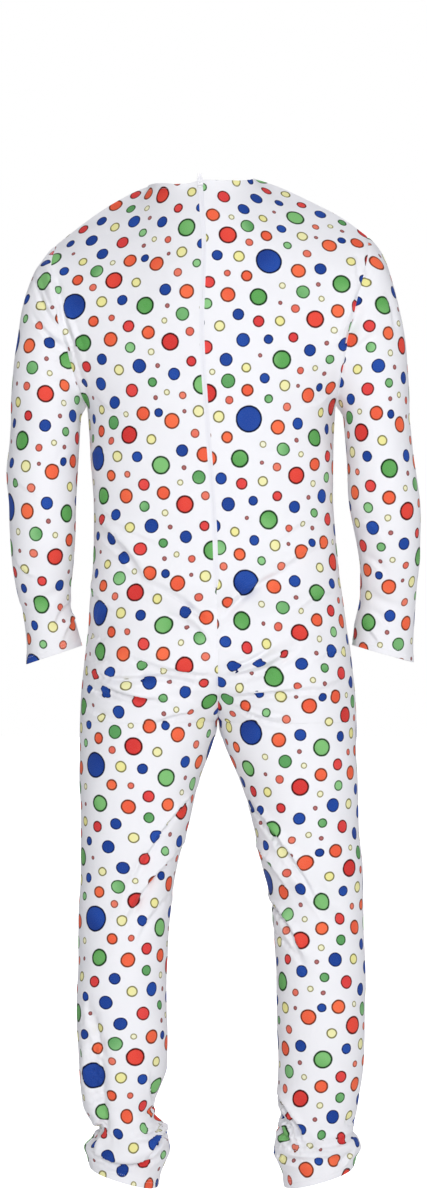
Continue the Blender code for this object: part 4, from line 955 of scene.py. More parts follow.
def crease(fold, points, line, t):
    """The height that one fold adds at each point. A fold that leans is steeper on one side."""
    gap = points[:, None] - line[None]
    nearest = np.linalg.norm(gap, axis=2).argmin(axis=1)
    along = np.gradient(line, axis=0)[nearest]
    offset = gap[np.arange(len(points)), nearest]
    # Between two points of the line, the way to the line itself counts
    share = (offset * along).sum(axis=1, keepdims=True) / (along * along).sum(axis=1, keepdims=True)
    distance = np.linalg.norm(offset - along * np.clip(share, -0.5, 0.5), axis=1)
    side = np.sign(along[:, 0] * offset[:, 2] - along[:, 2] * offset[:, 0])
    lean = fold.get("lean", 0.0)
    width = FOLD_SHARE * fold["width"] * (1 + lean * side)
    taper = np.sin(math.pi * np.clip(t[nearest], *FOLD_ENDS)) ** FOLD_TAPER
    ridge = np.exp(-((distance / width) ** 2))
    # The foot of the steep side is pressed into a narrow line
    foot_width = max(FOOT["width"] * fold["width"], FOOT_WIDTH)
    from_foot = distance * side * np.sign(lean) + FOOT["place"] * fold["width"]
    foot = np.exp(-((from_foot / foot_width) ** 2))
    return fold["height"] * taper * (ridge - FOOT["depth"] * abs(lean) * foot)


def room_for_folds(points, small=False):
    """From 0 to 1: less where the two legs, or a sleeve and the body, come close together."""
    places = column(STANCE, STANCE_COLUMNS, "z")
    middle = smooth_between(points[:, 2], places, column(STANCE, STANCE_COLUMNS, "shift"))
    from_middle = np.abs(points[:, 0] - middle)
    between_legs = (points[:, 2] < CLOSE_LEGS["top"]) & (points[:, 2] > CLOSE_LEGS["low"])
    room = np.where(between_legs, np.clip(from_middle / CLOSE_LEGS["room"], 0, 1), 1.0) ** 2
    if small:
        # Above the crotch small folds run on nearly to the seam
        beside_seam = np.clip(from_middle / SEAT_ROOM, LEAST_ROOM, 1)
        room = np.where(points[:, 2] > CROTCH_Z + SEAT_ROOM, np.maximum(room, beside_seam), room)
    beside = np.abs(from_middle - CLOSE_ARMS["x"]) < CLOSE_ARMS["room"]
    under_arm = (points[:, 2] < CLOSE_ARMS["top"]) & (points[:, 2] > CLOSE_ARMS["low"]) & beside
    near_arm = np.clip(np.abs(from_middle - CLOSE_ARMS["x"]) / CLOSE_ARMS["room"], LEAST_ROOM, 1)
    return room * np.where(under_arm, near_arm, 1.0)


def all_fold_heights(points, faces):
    """How far every fold, large and small, moves each point of the cloth."""
    height = np.zeros(len(points))
    for names, table in ((FOLD_COLUMNS, FOLDS), (SMALL_FOLD_COLUMNS, SMALL_FOLDS)):
        for row in table:
            fold = dict(zip(names, row))
            line, t = fold_line(row[: len(FOLD_COLUMNS)], faces[fold["face"]])
            reach = fold["width"] * FOLD_REACH
            low, high = line.min(axis=0) - reach, line.max(axis=0) + reach
            near = np.flatnonzero(((points > low) & (points < high)).all(axis=1))
            if len(near):
                height[near] += crease(fold, points[near], line, t)
        if table is FOLDS:
            large = (height + unevenness(points)) * room_for_folds(points)
            height = np.zeros(len(points))
    return large + height * room_for_folds(points, small=True)


def unevenness(points):
    """Slow and shallow swells, so that no panel is quite even."""
    total = np.zeros(len(points))
    for length, tilt, size in SWELLS:
        c, s = math.cos(math.radians(tilt)), math.sin(math.radians(tilt))
        place = points[:, 0] * c + points[:, 2] * s + points[:, 1] * SWELL_DEPTH
        across = points[:, 2] * c - points[:, 0] * s
        waves = np.sin(2 * math.pi * across / (length * SWELL_STRETCH) + tilt)
        total += size * np.sin(2 * math.pi * place / length) * waves
    return total


def evened(flat, grid, times):
    """Moves flat places until they are as far apart as the points on the cloth are."""
    whole, less, more = slice(None), slice(None, -1), slice(1, None)
    links = []
    for one, two in (
        ((whole, less), (whole, more)),
        ((less, whole), (more, whole)),
        ((less, less), (more, more)),
        ((less, more), (more, less)),
    ):
        links.append((one, two, np.linalg.norm(grid[two] - grid[one], axis=2)))
    count = np.zeros(flat.shape[:2] + (1,))
    for one, two, _ in links:
        count[one] += 1
        count[two] += 1
    for _ in range(times):
        move = np.zeros_like(flat)
        for one, two, length in links:
            apart = flat[two] - flat[one]
            now = np.maximum(np.linalg.norm(apart, axis=2), 1e-6)
            pull = 0.5 * apart * ((now - length) / now)[..., None]
            move[one] += pull
            move[two] -= pull
        flat = flat + FLAT_PULL * move / count
    return flat


def laid_flat(grid, middle, level):
    """The panel as it was cut: flat places whose spacing matches that of the points on the cloth.

    The rows are first laid level, each as long as it is on the cloth and moved sideways as
    the panel's middle line leans. Then the spacing is evened out, over coarse steps first.
    """
    across = np.gradient(grid, axis=1)
    across /= np.maximum(np.linalg.norm(across, axis=2, keepdims=True), 1e-9)
    step = np.diff(grid, axis=0)
    slip = (step * 0.5 * (across[1:] + across[:-1])).sum(axis=2)
    fall = np.sqrt(np.maximum((step**2).sum(axis=2) - slip**2, 1e-9))
    u, v = np.zeros(grid.shape[:2]), np.zeros(grid.shape[:2])
    u[:, 1:] = np.linalg.norm(np.diff(grid, axis=1), axis=2).cumsum(axis=1)
    u -= u[:, middle : middle + 1]
    lean = np.concatenate([[0], slip[:, middle].cumsum()])
    u += (lean - lean[level])[:, None]
    v[1:] = -fall.cumsum(axis=0)
    v -= v[level : level + 1]
    flat = np.stack([u, v], axis=2)
    for stride, times in FLAT_STEPS:
        rows = np.unique(np.append(np.arange(0, len(grid), stride), len(grid) - 1))
        columns = np.unique(np.append(np.arange(0, grid.shape[1], stride), grid.shape[1] - 1))
        part = np.ix_(rows, columns)
        moved = evened(flat[part], grid[part], times) - flat[part]
        if stride > 1:
            moved = between_rows(moved, rows, len(grid)).swapaxes(0, 1)
            moved = between_rows(moved, columns, grid.shape[1]).swapaxes(0, 1)
        flat = flat + moved
    return flat


def between_rows(values, rows, count):
    """Values known at some rows, filled in evenly at every row."""
    at = np.arange(count)
    k = np.clip(np.searchsorted(rows, at, side="right") - 1, 0, len(rows) - 2)
    t = ((at - rows[k]) / (rows[k + 1] - rows[k])).reshape(-1, 1, 1)
    return values[k] * (1 - t) + values[k + 1] * t


def with_neck_slack(grid):
    """The grid with the back of the neck's edge sagging a little between the shoulders."""
    x, y, z = grid[..., 0], grid[..., 1], grid[..., 2]
    places, depths = np.array(NECK_SLACK).T
    share = np.clip(1 + z / NECK_SLACK_REACH, 0, 1)
    at_back = np.clip(-y / NECK_SLACK_BACK, 0, 1)
    drop = np.interp(x, places, depths) * share * share * (3 - 2 * share) * at_back
    return grid - np.array([0.0, 0.0, 1.0]) * drop[..., None]


def panel_surface(name, base, out, faces):
    """A panel's fine grid with its folds, and its outward directions."""
    sleeve = name.startswith("sleeve")
    if sleeve:
        # The seam under the arm becomes the edge of the grid
        half = base.shape[1] // 2
        base = np.concatenate([base[:, half:], base[:, 1 : half + 1]], axis=1)
        out = np.concatenate([out[:, half:], out[:, 1 : half + 1]], axis=1)
    rows = fine_places(len(base), 2, HEM_PLACES)
    columns = fine_places(base.shape[1], 1 if sleeve else 4)
    grid = with_neck_slack(refined(base, rows, columns))
    away = refined(out / np.linalg.norm(out, axis=-1, keepdims=True), rows, columns)
    away /= np.linalg.norm(away, axis=-1, keepdims=True)
    height = all_fold_heights(grid.reshape(-1, 3), faces).reshape(grid.shape[:2])
    u = np.cumsum(np.linalg.norm(np.diff(grid, axis=1, prepend=grid[:, :1]), axis=2), axis=1)
    v = np.cumsum(np.linalg.norm(np.diff(grid, axis=0, prepend=grid[:1]), axis=2), axis=0)
    # The cloth dips into each seam, but not beside the open zip
    for from_seam, edge in ((u, 0), (u[:, -1:] - u, -1)):
        dip = np.full((len(grid), 1), SEAM_DIP)
        if name.startswith("back") and edge == 0:
            dip *= np.clip((ZIP_END_Z - grid[:, :1, 2]) / ZIP_END_FADE, 0, 1)
        height -= dip * np.exp(-((from_seam / SEAM_DIP_WIDTH) ** 2))
    if sleeve:
        height -= SEAM_DIP * np.exp(-((v / SEAM_DIP_WIDTH) ** 2))
    height += hem_relief(v[-1:] - v, u)
    return grid + away * height[..., None], away, rows, columns


def hem_relief(from_edge, along):
    """How a turned hem stands out: twice the cloth, pulled in at its stitches and lightly puckered."""
    height = 0.5 * HEM_STEP * (1 - np.tanh((from_edge - HEM_DEPTH) / HEM_STEP_WIDTH))
    for line in STITCH_LINES:
        height -= STITCH_DIP * np.exp(-(((from_edge - line) / STITCH_DIP_WIDTH) ** 2))
    inside = np.exp(-((from_edge / (HEM_DEPTH * HEM_REACH)) ** 4))
    drift, drift_length = PUCKER_DRIFT
    waves = np.sin(along / PUCKER_WAVE + drift * np.sin(along / drift_length))
    pucker = waves * np.exp(-(((from_edge - STITCH_LINES[-1]) / PUCKER_WIDTH) ** 2))
    return height * inside + HEM_PUCKER * pucker


def turned_edge(edge, inward, out):
    """Rows of points that carry a cloth edge round and back under itself.

    edge is the line of the edge, inward the lines one step after another inside it, as far
    as the turned part reaches, and out the directions out of the cloth.
    """
    lead = edge - inward[0]
    lead /= np.maximum(np.linalg.norm(lead, axis=1, keepdims=True), 1e-9)
    lines = []
    for k in range(1, TURN_STEPS):
        a = math.pi * k / TURN_STEPS
        lines.append(edge + TURN_RADIUS * (lead * math.sin(a) - out * (1 - math.cos(a))))
    return lines + [line - out * 2 * TURN_RADIUS for line in inward]


def grid_quads(index):
    """The four corners of every cell of a grid of point numbers."""
    corners = [index[:-1, :-1], index[:-1, 1:], index[1:, 1:], index[1:, :-1]]
    return np.stack(corners, axis=-1).reshape(-1, 4)


def cloth_object(name, grid, flat, flaps, material):
    """A mesh from a grid of points in millimetres, with flat places in metres as its cloth coordinates.

    Each flap is a list of the grid's own points along an edge, the lines of points that
    carry on from it, and their flat places.
    """
    rows, columns = grid.shape[:2]
    points = [grid.reshape(-1, 3)]
    places = [flat.reshape(-1, 2)]
    index = np.arange(rows * columns).reshape(rows, columns)
    quads = [grid_quads(index)]
    total = rows * columns
    for edge, lines, line_places, turned in flaps:
        before = edge
        for line, place in zip(lines, line_places):
            now = np.arange(total, total + len(line))
            total += len(line)
            points.append(line)
            places.append(place)
            strip = np.stack([before[:-1], before[1:], now[1:], now[:-1]], axis=-1)
            quads.append(strip[:, ::-1] if turned else strip)
            before = now
    points, places, quads = np.concatenate(points), np.concatenate(places), np.concatenate(quads)
    if facing_in(name[len("cloth_") :]):
        quads = quads[:, ::-1]
    mesh = bpy.data.meshes.new(name)
    mesh.from_pydata((points * MM).tolist(), [], quads.tolist())
    layer = mesh.uv_layers.new(name="cloth")
    corners = np.empty(len(mesh.loops), int)
    mesh.loops.foreach_get("vertex_index", corners)
    layer.data.foreach_set("uv", (places[corners] * MM).ravel())
    mesh.materials.append(material)
    mesh.shade_smooth()
    thing = bpy.data.objects.new(name, mesh)
    bpy.context.scene.collection.objects.link(thing)
    return thing


def facing_in(name):
    """Whether the grid's own order of corners would face into the suit."""
    if name.startswith("sleeve"):
        return side_of(name) < 0
    return (side_of(name) > 0) != name.startswith("front")


def edge_flap(grid, away, flat, neck=None):
    """The flap of a turned edge: the hem's whole last row, or the first row's points round the neck."""
    rows, columns = grid.shape[:2]
    index = np.arange(rows * columns).reshape(rows, columns)
    if neck is None:
        index, grid, away, flat = index[::-1], grid[::-1], away[::-1], flat[::-1]
    cut = slice(neck)
    apart = np.linalg.norm(grid[0] - grid, axis=2)
    if neck is None:
        steps = int(np.searchsorted(apart.mean(axis=1), HEM_DEPTH))
    else:
        steps = int(np.searchsorted(apart[:, 0], NECK_TURN_DEPTH))
    inward = range(1, steps + 1)
    lines = turned_edge(grid[0, cut], [grid[k, cut] for k in inward], away[0, cut])
    base = flat[0, cut]
    lead = base - flat[1, cut]
    lead /= np.maximum(np.linalg.norm(lead, axis=1, keepdims=True), 1e-9)
    places = [base + lead * TURN_RADIUS * math.pi * k / TURN_STEPS for k in range(1, TURN_STEPS)]
    for k in inward:
        depth = np.linalg.norm(base - flat[k, cut], axis=1, keepdims=True)
        places.append(base + lead * (TURN_RADIUS * math.pi + depth))
    return index[0, cut], lines, places, neck is not None


def read_along(values, run, places):
    """Values known along a line, read at other places on it."""
    return np.stack([np.interp(places, run, values[:, k]) for k in range(3)], axis=1)


def threads(name, line, out, material, pitch, length, width, rise):
    """A row of short stitches along a line of points on the cloth."""
    steps = np.linalg.norm(np.diff(line, axis=0), axis=1)
    run = np.concatenate([[0], steps.cumsum()])
    middles = np.arange(pitch / 2, run[-1], pitch)
    ends = [read_along(line, run, middles + s * length / 2) for s in (-1, 1)]
    up = read_along(out, run, middles)
    up /= np.linalg.norm(up, axis=1, keepdims=True)
    along = ends[1] - ends[0]
    along /= np.maximum(np.linalg.norm(along, axis=1, keepdims=True), 1e-9)
    side = np.cross(along, up)
    middle = 0.5 * (ends[0] + ends[1]) + up * rise
    sunk = up * STITCH_SUNK
    corners = [
        ends[0] - sunk,
        middle - side * width / 2 - sunk,
        ends[1] - sunk,
        middle + side * width / 2 - sunk,
        middle + up * width * STITCH_CROWN,
    ]
    points = np.stack(corners, axis=1).reshape(-1, 3)
    first = np.arange(len(middles)) * 5
    sides = ((0, 1), (1, 2), (2, 3), (3, 0))
    faces = [np.stack([first + a, first + b, first + 4], axis=1) for a, b in sides]
    return plain_object(name, points, np.concatenate(faces), material, smooth=True)


def plain_object(name, points, faces, material, smooth=False):
    """A mesh from points in millimetres."""
    mesh = bpy.data.meshes.new(name)
    mesh.from_pydata((np.asarray(points) * MM).tolist(), [], [list(map(int, f)) for f in faces])
    mesh.materials.append(material)
    if smooth:
        mesh.shade_smooth()
    mesh.update()
    thing = bpy.data.objects.new(name, mesh)
    bpy.context.scene.collection.objects.link(thing)
    return thing


class Nodes:
    """A short way to write a node tree."""

    def __init__(self, tree):
        self.tree = tree

    def add(self, kind, **settings):
        node = self.tree.nodes.new(kind)
        for key, value in settings.items():
            setattr(node, key, value)
        return node

    def feed(self, socket, value):
        if hasattr(value, "is_output"):
            self.tree.links.new(value, socket)
        elif value is not None:
            socket.default_value = value

    def math(self, operation, *values, clamp=False):
        node = self.add("ShaderNodeMath", operation=operation, use_clamp=clamp)
        for socket, value in zip(node.inputs, values):
            self.feed(socket, value)
        return node.outputs[0]

    def vector(self, operation, *values):
        node = self.add("ShaderNodeVectorMath", operation=operation)
        for socket, value in zip(node.inputs, values):
            self.feed(socket, value)
        return node.outputs["Value" if operation in ("LENGTH", "DISTANCE") else "Vector"]

    def mix(self, share, one, two):
        node = self.add("ShaderNodeMix", data_type="RGBA")
        self.feed(node.inputs["Factor"], share)
        colours = [s for s in node.inputs if s.type == "RGBA"]
        self.feed(colours[0], one)
        self.feed(colours[1], two)
        return [s for s in node.outputs if s.type == "RGBA"][0]

    def ramp(self, value, low, high, from_value=0.0, to_value=1.0):
        node = self.add("ShaderNodeMapRange", interpolation_type="SMOOTHSTEP")
        self.feed(node.inputs["Value"], value)
        self.feed(node.inputs["From Min"], low)
        self.feed(node.inputs["From Max"], high)
        self.feed(node.inputs["To Min"], from_value)
        self.feed(node.inputs["To Max"], to_value)
        return node.outputs["Result"]

    def noise(self, vector, scale, detail=2.0, roughness=0.5):
        node = self.add("ShaderNodeTexNoise")
        self.feed(node.inputs["Vector"], vector)
        node.inputs["Scale"].default_value = scale
        node.inputs["Detail"].default_value = detail
        node.inputs["Roughness"].default_value = roughness
        return node.outputs

    def use(self, group, **inputs):
        node = self.add("ShaderNodeGroup", node_tree=group)
        for key, value in inputs.items():
            self.feed(node.inputs[key.replace("_", " ")], value)
        return node


SOCKETS = {"vector": "NodeSocketVector", "value": "NodeSocketFloat", "colour": "NodeSocketColor"}


def new_group(name, inputs, outputs):
    """An empty shader group with named inputs and outputs."""
    tree = bpy.data.node_groups.new(name, "ShaderNodeTree")
    for direction, sockets in (("INPUT", inputs), ("OUTPUT", outputs)):
        for label, kind in sockets.items():
            tree.interface.new_socket(name=label, in_out=direction, socket_type=SOCKETS[kind])
    nodes = Nodes(tree)
    return tree, nodes, nodes.add("NodeGroupInput"), nodes.add("NodeGroupOutput")


def nearest_spot_group():
    """How far the cloth is outside the nearest of one kind of spot, counting one more spot of it."""
    tree, n, source, result = new_group(
        "nearest spot",
        {"Cloth": "vector", "Centre": "vector", "Radius": "value", "Nearest": "value"},
        {"Nearest": "value"},
    )
    offset = n.vector("SUBTRACT", source.outputs["Cloth"], source.outputs["Centre"])
    half = (REPEAT["width"] / 2, REPEAT["height"] / 2, 1.0)
    inside = n.vector("WRAP", offset, half, tuple(-v for v in half))
    edge = n.math("SUBTRACT", n.vector("LENGTH", inside), source.outputs["Radius"])
    n.feed(result.inputs["Nearest"], n.math("MINIMUM", edge, source.outputs["Nearest"]))
    return tree


def ink_group():
    """One kind of printed spot laid over the cloth: its ink, a darker edge line and a fine grain."""
    tree, n, source, result = new_group(
        "printed ink",
        {
            "Under": "colour", "Edge": "value", "Ink": "colour",
            "Line": "colour", "Line width": "value", "Grain": "value", "Thin": "value",
        },
        {"Colour": "colour"},
    )
    s = source.outputs
    edge = s["Edge"]
    inside = n.ramp(edge, PRINT_SOFT, -PRINT_SOFT)
    faded = n.mix(n.math("MULTIPLY", s["Grain"], s["Thin"]), s["Ink"], s["Under"])
    inked = n.mix(inside, s["Under"], faded)
    from_line = n.math("ABSOLUTE", n.math("ADD", edge, n.math("MULTIPLY", s["Line width"], 0.5)))
    line = n.ramp(n.math("DIVIDE", from_line, s["Line width"]), 1.0, LINE_CORE)
    kept = n.math("SUBTRACT", 1.0, n.math("MULTIPLY", s["Grain"], LINE_GRAIN))
    grain_line = n.math("MULTIPLY", line, kept)
    n.feed(result.inputs["Colour"], n.mix(grain_line, inked, s["Line"]))
    return tree


def in_millimetres(n, metres):
    """The cloth's own coordinates in millimetres."""
    place = n.vector("SCALE", metres)
    place.node.inputs["Scale"].default_value = 1 / MM
    return place


def print_group():
    """The spotted print, on the cloth's own coordinates."""
    inputs = {"Cloth": "vector", "Base": "colour"}
    tree, n, source, result = new_group("spotted print", inputs, {"Colour": "colour"})
    place = in_millimetres(n, source.outputs["Cloth"])
    wobble = n.noise(place, WOBBLE_SCALE, 1.0)["Color"]
    shift = n.vector("MULTIPLY_ADD", wobble, (PRINT_WOBBLE,) * 3, (-PRINT_WOBBLE / 2,) * 3)
    cloth = n.vector("MULTIPLY", n.vector("ADD", place, shift), (1.0, 1.0, 0.0))
    grain = n.ramp(n.noise(place, GRAIN["scale"], 3.0, 0.7)["Fac"], GRAIN["from"], GRAIN["to"])
    paler = n.ramp(n.noise(place, PALER["scale"], 1.0)["Fac"], PALER["from"], PALER["to"])
    nearest_group, ink = nearest_spot_group(), ink_group()
    colour = source.outputs["Base"]
    for kind, row in SPOT_KINDS.items():
        style = dict(zip(SPOT_KIND_COLUMNS, row))
        nearest = FAR_AWAY
        for across, x, y in SPOTS[kind]:
            spot = {"Centre": (x, y, 0.0), "Radius": across / 2, "Nearest": nearest}
            nearest = n.use(nearest_group, Cloth=cloth, **spot).outputs["Nearest"]
        fill = n.mix(paler, (*style["ink"], 1), (*style["pale"], 1))
        node = n.use(
            ink, Under=colour, Edge=nearest, Ink=fill,
            Line=(*style["line"], 1), Line_width=style["line_width"], Grain=grain, Thin=style["thin"],
        )
        colour = node.outputs["Colour"]
    n.feed(result.inputs["Colour"], colour)
    return tree


def knit_group():
    """The fine ribs of a stretch knit and its slight creasing, as a height in millimetres."""
    tree, n, source, result = new_group("stretch knit", {"Cloth": "vector"}, {"Height": "value"})
    place = in_millimetres(n, source.outputs["Cloth"])
    parts = n.add("ShaderNodeSeparateXYZ")
    n.feed(parts.inputs[0], place)
    ribs = n.math("SINE", n.math("MULTIPLY", parts.outputs["X"], 2 * math.pi / KNIT["rib"]))
    rows = n.math("SINE", n.math("MULTIPLY", parts.outputs["Y"], 2 * math.pi / KNIT["row"]))
    weave = n.math("MULTIPLY", n.math("ADD", ribs, n.math("MULTIPLY", rows, 0.5)), KNIT["depth"])
    uneven = n.math("SUBTRACT", n.noise(place, KNIT["creasing_scale"], 3.0)["Fac"], 0.5)
    soft = n.math("MULTIPLY", uneven, KNIT["creasing"])
    n.feed(result.inputs["Height"], n.math("ADD", weave, soft))
    return tree


def spotted_cloth():
    """White stretch knit with the print outside and only its shadow inside."""
    made = bpy.data.materials.new("spotted cloth")
    made.use_nodes = True
    n = Nodes(made.node_tree)
    shader = made.node_tree.nodes["Principled BSDF"]
    place = n.add("ShaderNodeUVMap", uv_map="cloth").outputs["UV"]
    white = (*CLOTH_WHITE, 1)
    print_colour = n.use(print_group(), Cloth=place, Base=white).outputs["Colour"]
    knit = n.use(knit_group(), Cloth=place)
    inside = n.add("ShaderNodeNewGeometry").outputs["Backfacing"]
    shown = n.mix(n.math("MULTIPLY", inside, INSIDE_SHARE), print_colour, (*CLOTH_INSIDE, 1))
    bump = n.add("ShaderNodeBump")
    bump.inputs["Strength"].default_value = 1.0
    bump.inputs["Distance"].default_value = MM
    n.feed(bump.inputs["Height"], knit.outputs["Height"])
    n.feed(shader.inputs["Base Color"], shown)
    n.feed(shader.inputs["Normal"], bump.outputs["Normal"])
    for label, value in CLOTH_FINISH.items():
        shader.inputs[label].default_value = value
    return made


def plain(name):
    """One of the plain finishes."""
    made = bpy.data.materials.new(name)
    made.use_nodes = True
    shader = made.node_tree.nodes["Principled BSDF"]
    colour, roughness, coat = FINISHES[name]
    shader.inputs["Base Color"].default_value = (*colour, 1)
    shader.inputs["Roughness"].default_value = roughness
    shader.inputs["Coat Weight"].default_value = coat
    return made


def add_panels(material):
    """All the cloth panels, with their turned edges. Returns what the zip and the stitches need."""
    base = {}
    for word, side in (("left", -1), ("right", 1)):
        back, front = panel_grid(side, "back"), panel_grid(side, "front")
        base["back_" + word], base["front_" + word] = back, front
        base["sleeve_" + word] = sleeve_grid(side, back, front)
    out = outward(base)
    faces = {face: face_points(base, face) for face in ("front", "back")}
    made = {}
    for name, grid in base.items():
        surface, away, rows, columns = panel_surface(name, grid, out[name], faces)
        sleeve = name.startswith("sleeve")
        level = int(np.searchsorted(rows, FINE_CAP_ROWS if sleeve else FINE_UPPER_ROWS))
        flat = laid_flat(surface, surface.shape[1] // 2, level)
        across, down = (float(np.ptp(flat[..., k])) * MM for k in (0, 1))
        cut = {"width": across, "length": down, "area": flat_area(flat)}
        flaps = [edge_flap(surface, away, flat)]
        if not sleeve:
            neck = int(np.searchsorted(columns, NECK_SHARE * FINE_COLUMNS)) + 1
            flaps.append(edge_flap(surface, away, flat, neck))
        shift = np.array(PRINT_START[name])
        shifted = []
        for edge, lines, places, turned in flaps:
            shifted.append((edge, lines, [p + shift for p in places], turned))
        thing = cloth_object("cloth_" + name, surface, flat + shift, shifted, material)
        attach(thing, "suit")
        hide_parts(name)
        made[name] = {"object": thing, "grid": surface, "out": away, "columns": columns, "cut": cut}
    return made


def flat_area(flat):
    """The area of a panel laid flat, in square metres."""
    one, two = flat[1:, 1:] - flat[:-1, :-1], flat[1:, :-1] - flat[:-1, 1:]
    return float(np.abs(one[..., 0] * two[..., 1] - one[..., 1] * two[..., 0]).sum() / 2 * MM * MM)


def add_stitches(made, material):
    """The stitching of the turned hems, cuffs and neck edge."""
    pieces = {name: [] for name in made}
    for name, panel in made.items():
        grid, out = panel["grid"], panel["out"]
        depth = np.linalg.norm(grid[-1] - grid[::-1], axis=2).mean(axis=1)
        for offset in STITCH_LINES:
            row = len(grid) - 1 - int(np.searchsorted(depth, offset))
            label = f"{name}_hem_stitches_{offset:g}"
            pieces[name].append(threads(label, grid[row], out[row], material, **STITCH))
        if not name.startswith("sleeve"):
            neck = int(np.searchsorted(panel["columns"], NECK_SHARE * FINE_COLUMNS)) + 1
            from_edge = np.linalg.norm(grid[0] - grid, axis=2)[:, 0]
            row = int(np.searchsorted(from_edge, NECK_STITCH))
            label = f"{name}_neck_stitches"
            line, up = grid[row, :neck], out[row, :neck]
            pieces[name].append(threads(label, line, up, material, **STITCH))
    for things in pieces.values():
        for thing in things:
            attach(thing, "suit")
    return pieces


def ribbon(name, lines, material):
    """A strip of cloth or braid through lines of points."""
    lines = np.stack(lines, axis=1)
    rows, columns = lines.shape[:2]
    quads = grid_quads(np.arange(rows * columns).reshape(rows, columns))
    return plain_object(name, lines.reshape(-1, 3), quads, material, smooth=True)


def zip_line(made):
    """The two edges of the zip and the directions out of the back, as far as they stand open."""
    left, right = made["back_left"], made["back_right"]
    gap = np.linalg.norm(left["grid"][:, 0] - right["grid"][:, 0], axis=1)
    last = int(np.flatnonzero(gap < ZIP_SHUT)[0])
    from_top = np.linalg.norm(left["grid"][:, 0] - left["grid"][0, 0], axis=1)
    first = int(np.searchsorted(from_top, CHAIN_TOP))
    rows = slice(first, last)
    a, b = left["grid"][rows, 0], right["grid"][rows, 0]
    out = left["out"][rows, 0] + right["out"][rows, 0]
    out /= np.linalg.norm(out, axis=1, keepdims=True)
    across = b - a
    across /= np.linalg.norm(across, axis=1, keepdims=True)
    return 0.5 * (a + b), out, across, rows


def add_zip(made, tape_finish, teeth_finish, enamel):
    """The tapes, the coil of teeth, the slider and its pull tab."""
    middle, out, across, rows = zip_line(made)
    things = []
    for word, side in (("left", -1), ("right", 1)):
        lines = [middle + across * side * x - out * TAPE_DEPTH for x in TAPE_LINES]
        panel = made["back_" + word]
        run = np.linalg.norm(panel["grid"] - panel["grid"][:, :1], axis=2).mean(axis=0)
        for column_number in np.flatnonzero(run < TAPE_REACH):
            cloth, under = (panel[key][rows, column_number] for key in ("grid", "out"))
            lines.append(cloth - under * TAPE_DEPTH)
        if side > 0:
            lines = lines[::-1]
        tape = ribbon(f"braid_{word}", lines, tape_finish)
        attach(tape, "suit")
        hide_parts("zip_tape_" + word)
        things.append(tape)
    teeth = add_teeth(middle, out, across, teeth_finish)
    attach(teeth, "suit")
    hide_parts("zip_chain")
    for node, body in (("zip_slider", "suit"), ("zip_pull", "pull_tab")):
        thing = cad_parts[node].copy()
        thing.data = thing.data.copy()
        thing.name = node.replace("zip_", "enamel_")
        for key in list(thing.keys()):
            del thing[key]
        thing.data.materials.clear()
        thing.data.materials.append(enamel)
        bpy.context.scene.collection.objects.link(thing)
        world = thing.matrix_world.copy()
        thing.parent = None
        thing.matrix_world = world
        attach(thing, body)
        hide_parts(node)
    return things + [teeth]


def add_teeth(middle, out, across, material):
    """Two rows of small teeth that lock into one another along the zip."""
    steps = np.linalg.norm(np.diff(middle, axis=0), axis=1)
    run = np.concatenate([[0], steps.cumsum()])
    places = np.arange(TEETH["pitch"], run[-1] - 1, TEETH["pitch"])
    centre, up, side = (read_along(values, run, places) for values in (middle, out, across))
    down = np.cross(side, up)
    w, h, d = TEETH["width"] / 2, TEETH["height"] / 2, TEETH["depth"] / 2
    a, b = TOOTH_TOP
    turn = np.where(np.arange(len(places)) % 2, 1.0, -1.0)[:, None]
    corners = []
    for x, y, z in (
        (-w, -h, -d), (w, -h, -d), (w, h, -d), (-w, h, -d),
        (-w * a, -h * b, d), (w * a, -h * b, d), (w * a, h * b, d), (-w * a, h * b, d),
    ):
        corners.append(centre + side * (x + turn * TEETH["stagger"]) + down * y + up * (z + TEETH["lift"]))
    points = np.stack(corners, axis=1).reshape(-1, 3)
    first = np.arange(len(places)) * 8
    faces = []
    for face in ((0, 1, 2, 3), (7, 6, 5, 4), (0, 4, 5, 1), (1, 5, 6, 2), (2, 6, 7, 3), (3, 7, 4, 0)):
        faces.append(np.stack([first + k for k in face[::-1]], axis=1))
    return plain_object("coil_teeth", points, np.concatenate(faces), material)


def declare_sheets(made, stitches, zip_things):
    """Gathers each panel's stitches, and the zip's pieces for the left back panel, and does nothing more
    with them.
    """
    for name, panel in made.items():
        things = list(stitches[name])
        if name == "back_left":
            things += zip_things


def aim(thing, target):
    """Turns a light to face a point."""
    thing.rotation_euler = (Vector(target) - thing.location).to_track_quat("-Z", "Y").to_euler()


def add_light(name, place, target, size, power):
    """A soft square light."""
    data = bpy.data.lights.new(name, "AREA")
    data.shape = "RECTANGLE"
    data.size, data.size_y = size
    data.energy = power
    thing = bpy.data.objects.new(name, data)
    bpy.context.scene.collection.objects.link(thing)
    thing.location = place
    aim(thing, target)
    return thing


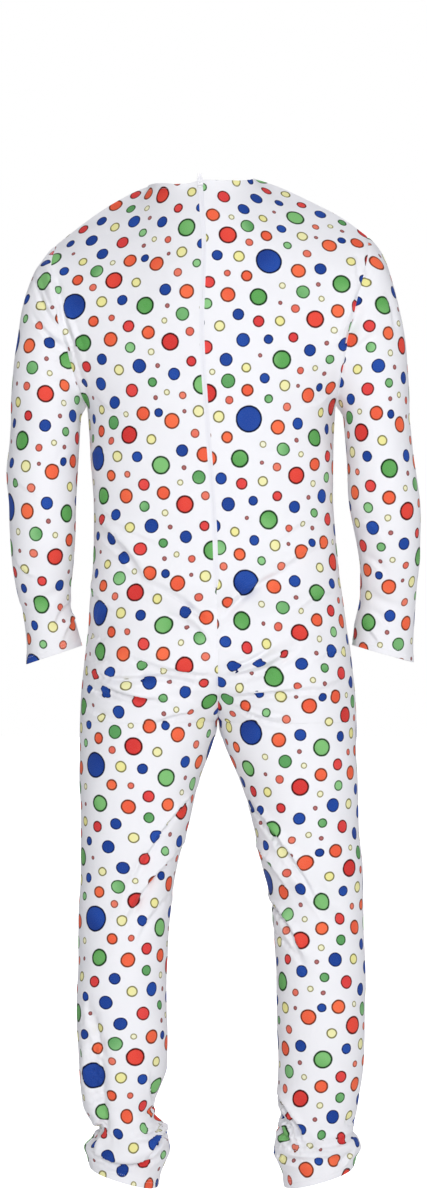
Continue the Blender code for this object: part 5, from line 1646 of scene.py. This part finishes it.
def add_studio():
    """The camera, a pale floor, soft lights and white surroundings."""
    data = bpy.data.cameras.new("camera")
    data.sensor_width = 36.0
    data.lens = CAMERA["lens"]
    camera = bpy.data.objects.new("camera", data)
    bpy.context.scene.collection.objects.link(camera)
    camera.location = CAMERA["place"]
    camera.rotation_euler = (math.radians(90), 0, 0)
    bpy.context.scene.camera = camera

    bpy.ops.mesh.primitive_plane_add(size=FLOOR_WIDTH, location=(0, 0, FLOOR_Z))
    floor = bpy.context.object
    floor.name = "floor"
    floor.data.materials.append(floor_finish())

    for name, place, target, size, power in LIGHTS:
        add_light(name, place, target, size, power)
    world = bpy.data.worlds.new("studio")
    bpy.context.scene.world = world
    world.use_nodes = True
    n = Nodes(world.node_tree)
    background = world.node_tree.nodes["Background"]
    seen = n.add("ShaderNodeLightPath").outputs["Is Camera Ray"]
    # The surroundings look plain white and light the suit softly, a little more from the right
    split = n.add("ShaderNodeSeparateXYZ")
    n.feed(split.inputs[0], n.add("ShaderNodeTexCoord").outputs["Generated"])
    strength = n.ramp(split.outputs["X"], -1.0, 1.0, *WORLD_STRENGTH)
    n.feed(background.inputs["Strength"], n.ramp(seen, 0.0, 1.0, strength, 1.0))
    n.feed(background.inputs["Color"], n.mix(seen, WORLD_COLOUR, (1, 1, 1, 1)))
    bpy.context.scene.view_settings.view_transform = "Standard"


def floor_finish():
    """A plain pale floor that meets the white surroundings without a line, and lights nothing itself."""
    made = plain("pale floor")
    n = Nodes(made.node_tree)
    shader = made.node_tree.nodes["Principled BSDF"]
    shader.inputs["Emission Color"].default_value = (1, 1, 1, 1)
    seen = n.add("ShaderNodeLightPath").outputs["Is Camera Ray"]
    n.feed(shader.inputs["Emission Strength"], n.math("MULTIPLY", seen, FLOOR_GLOW))
    return made


def note_size():
    """Brings the scene's placements up to date."""
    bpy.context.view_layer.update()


note_size()
spotted = spotted_cloth()
panels = add_panels(spotted)
hem_stitches = add_stitches(panels, plain("white thread"))
zip_pieces = add_zip(panels, plain("zip tape"), plain("zip teeth"), plain("white enamel"))
declare_sheets(panels, hem_stitches, zip_pieces)
add_studio()
note_size()
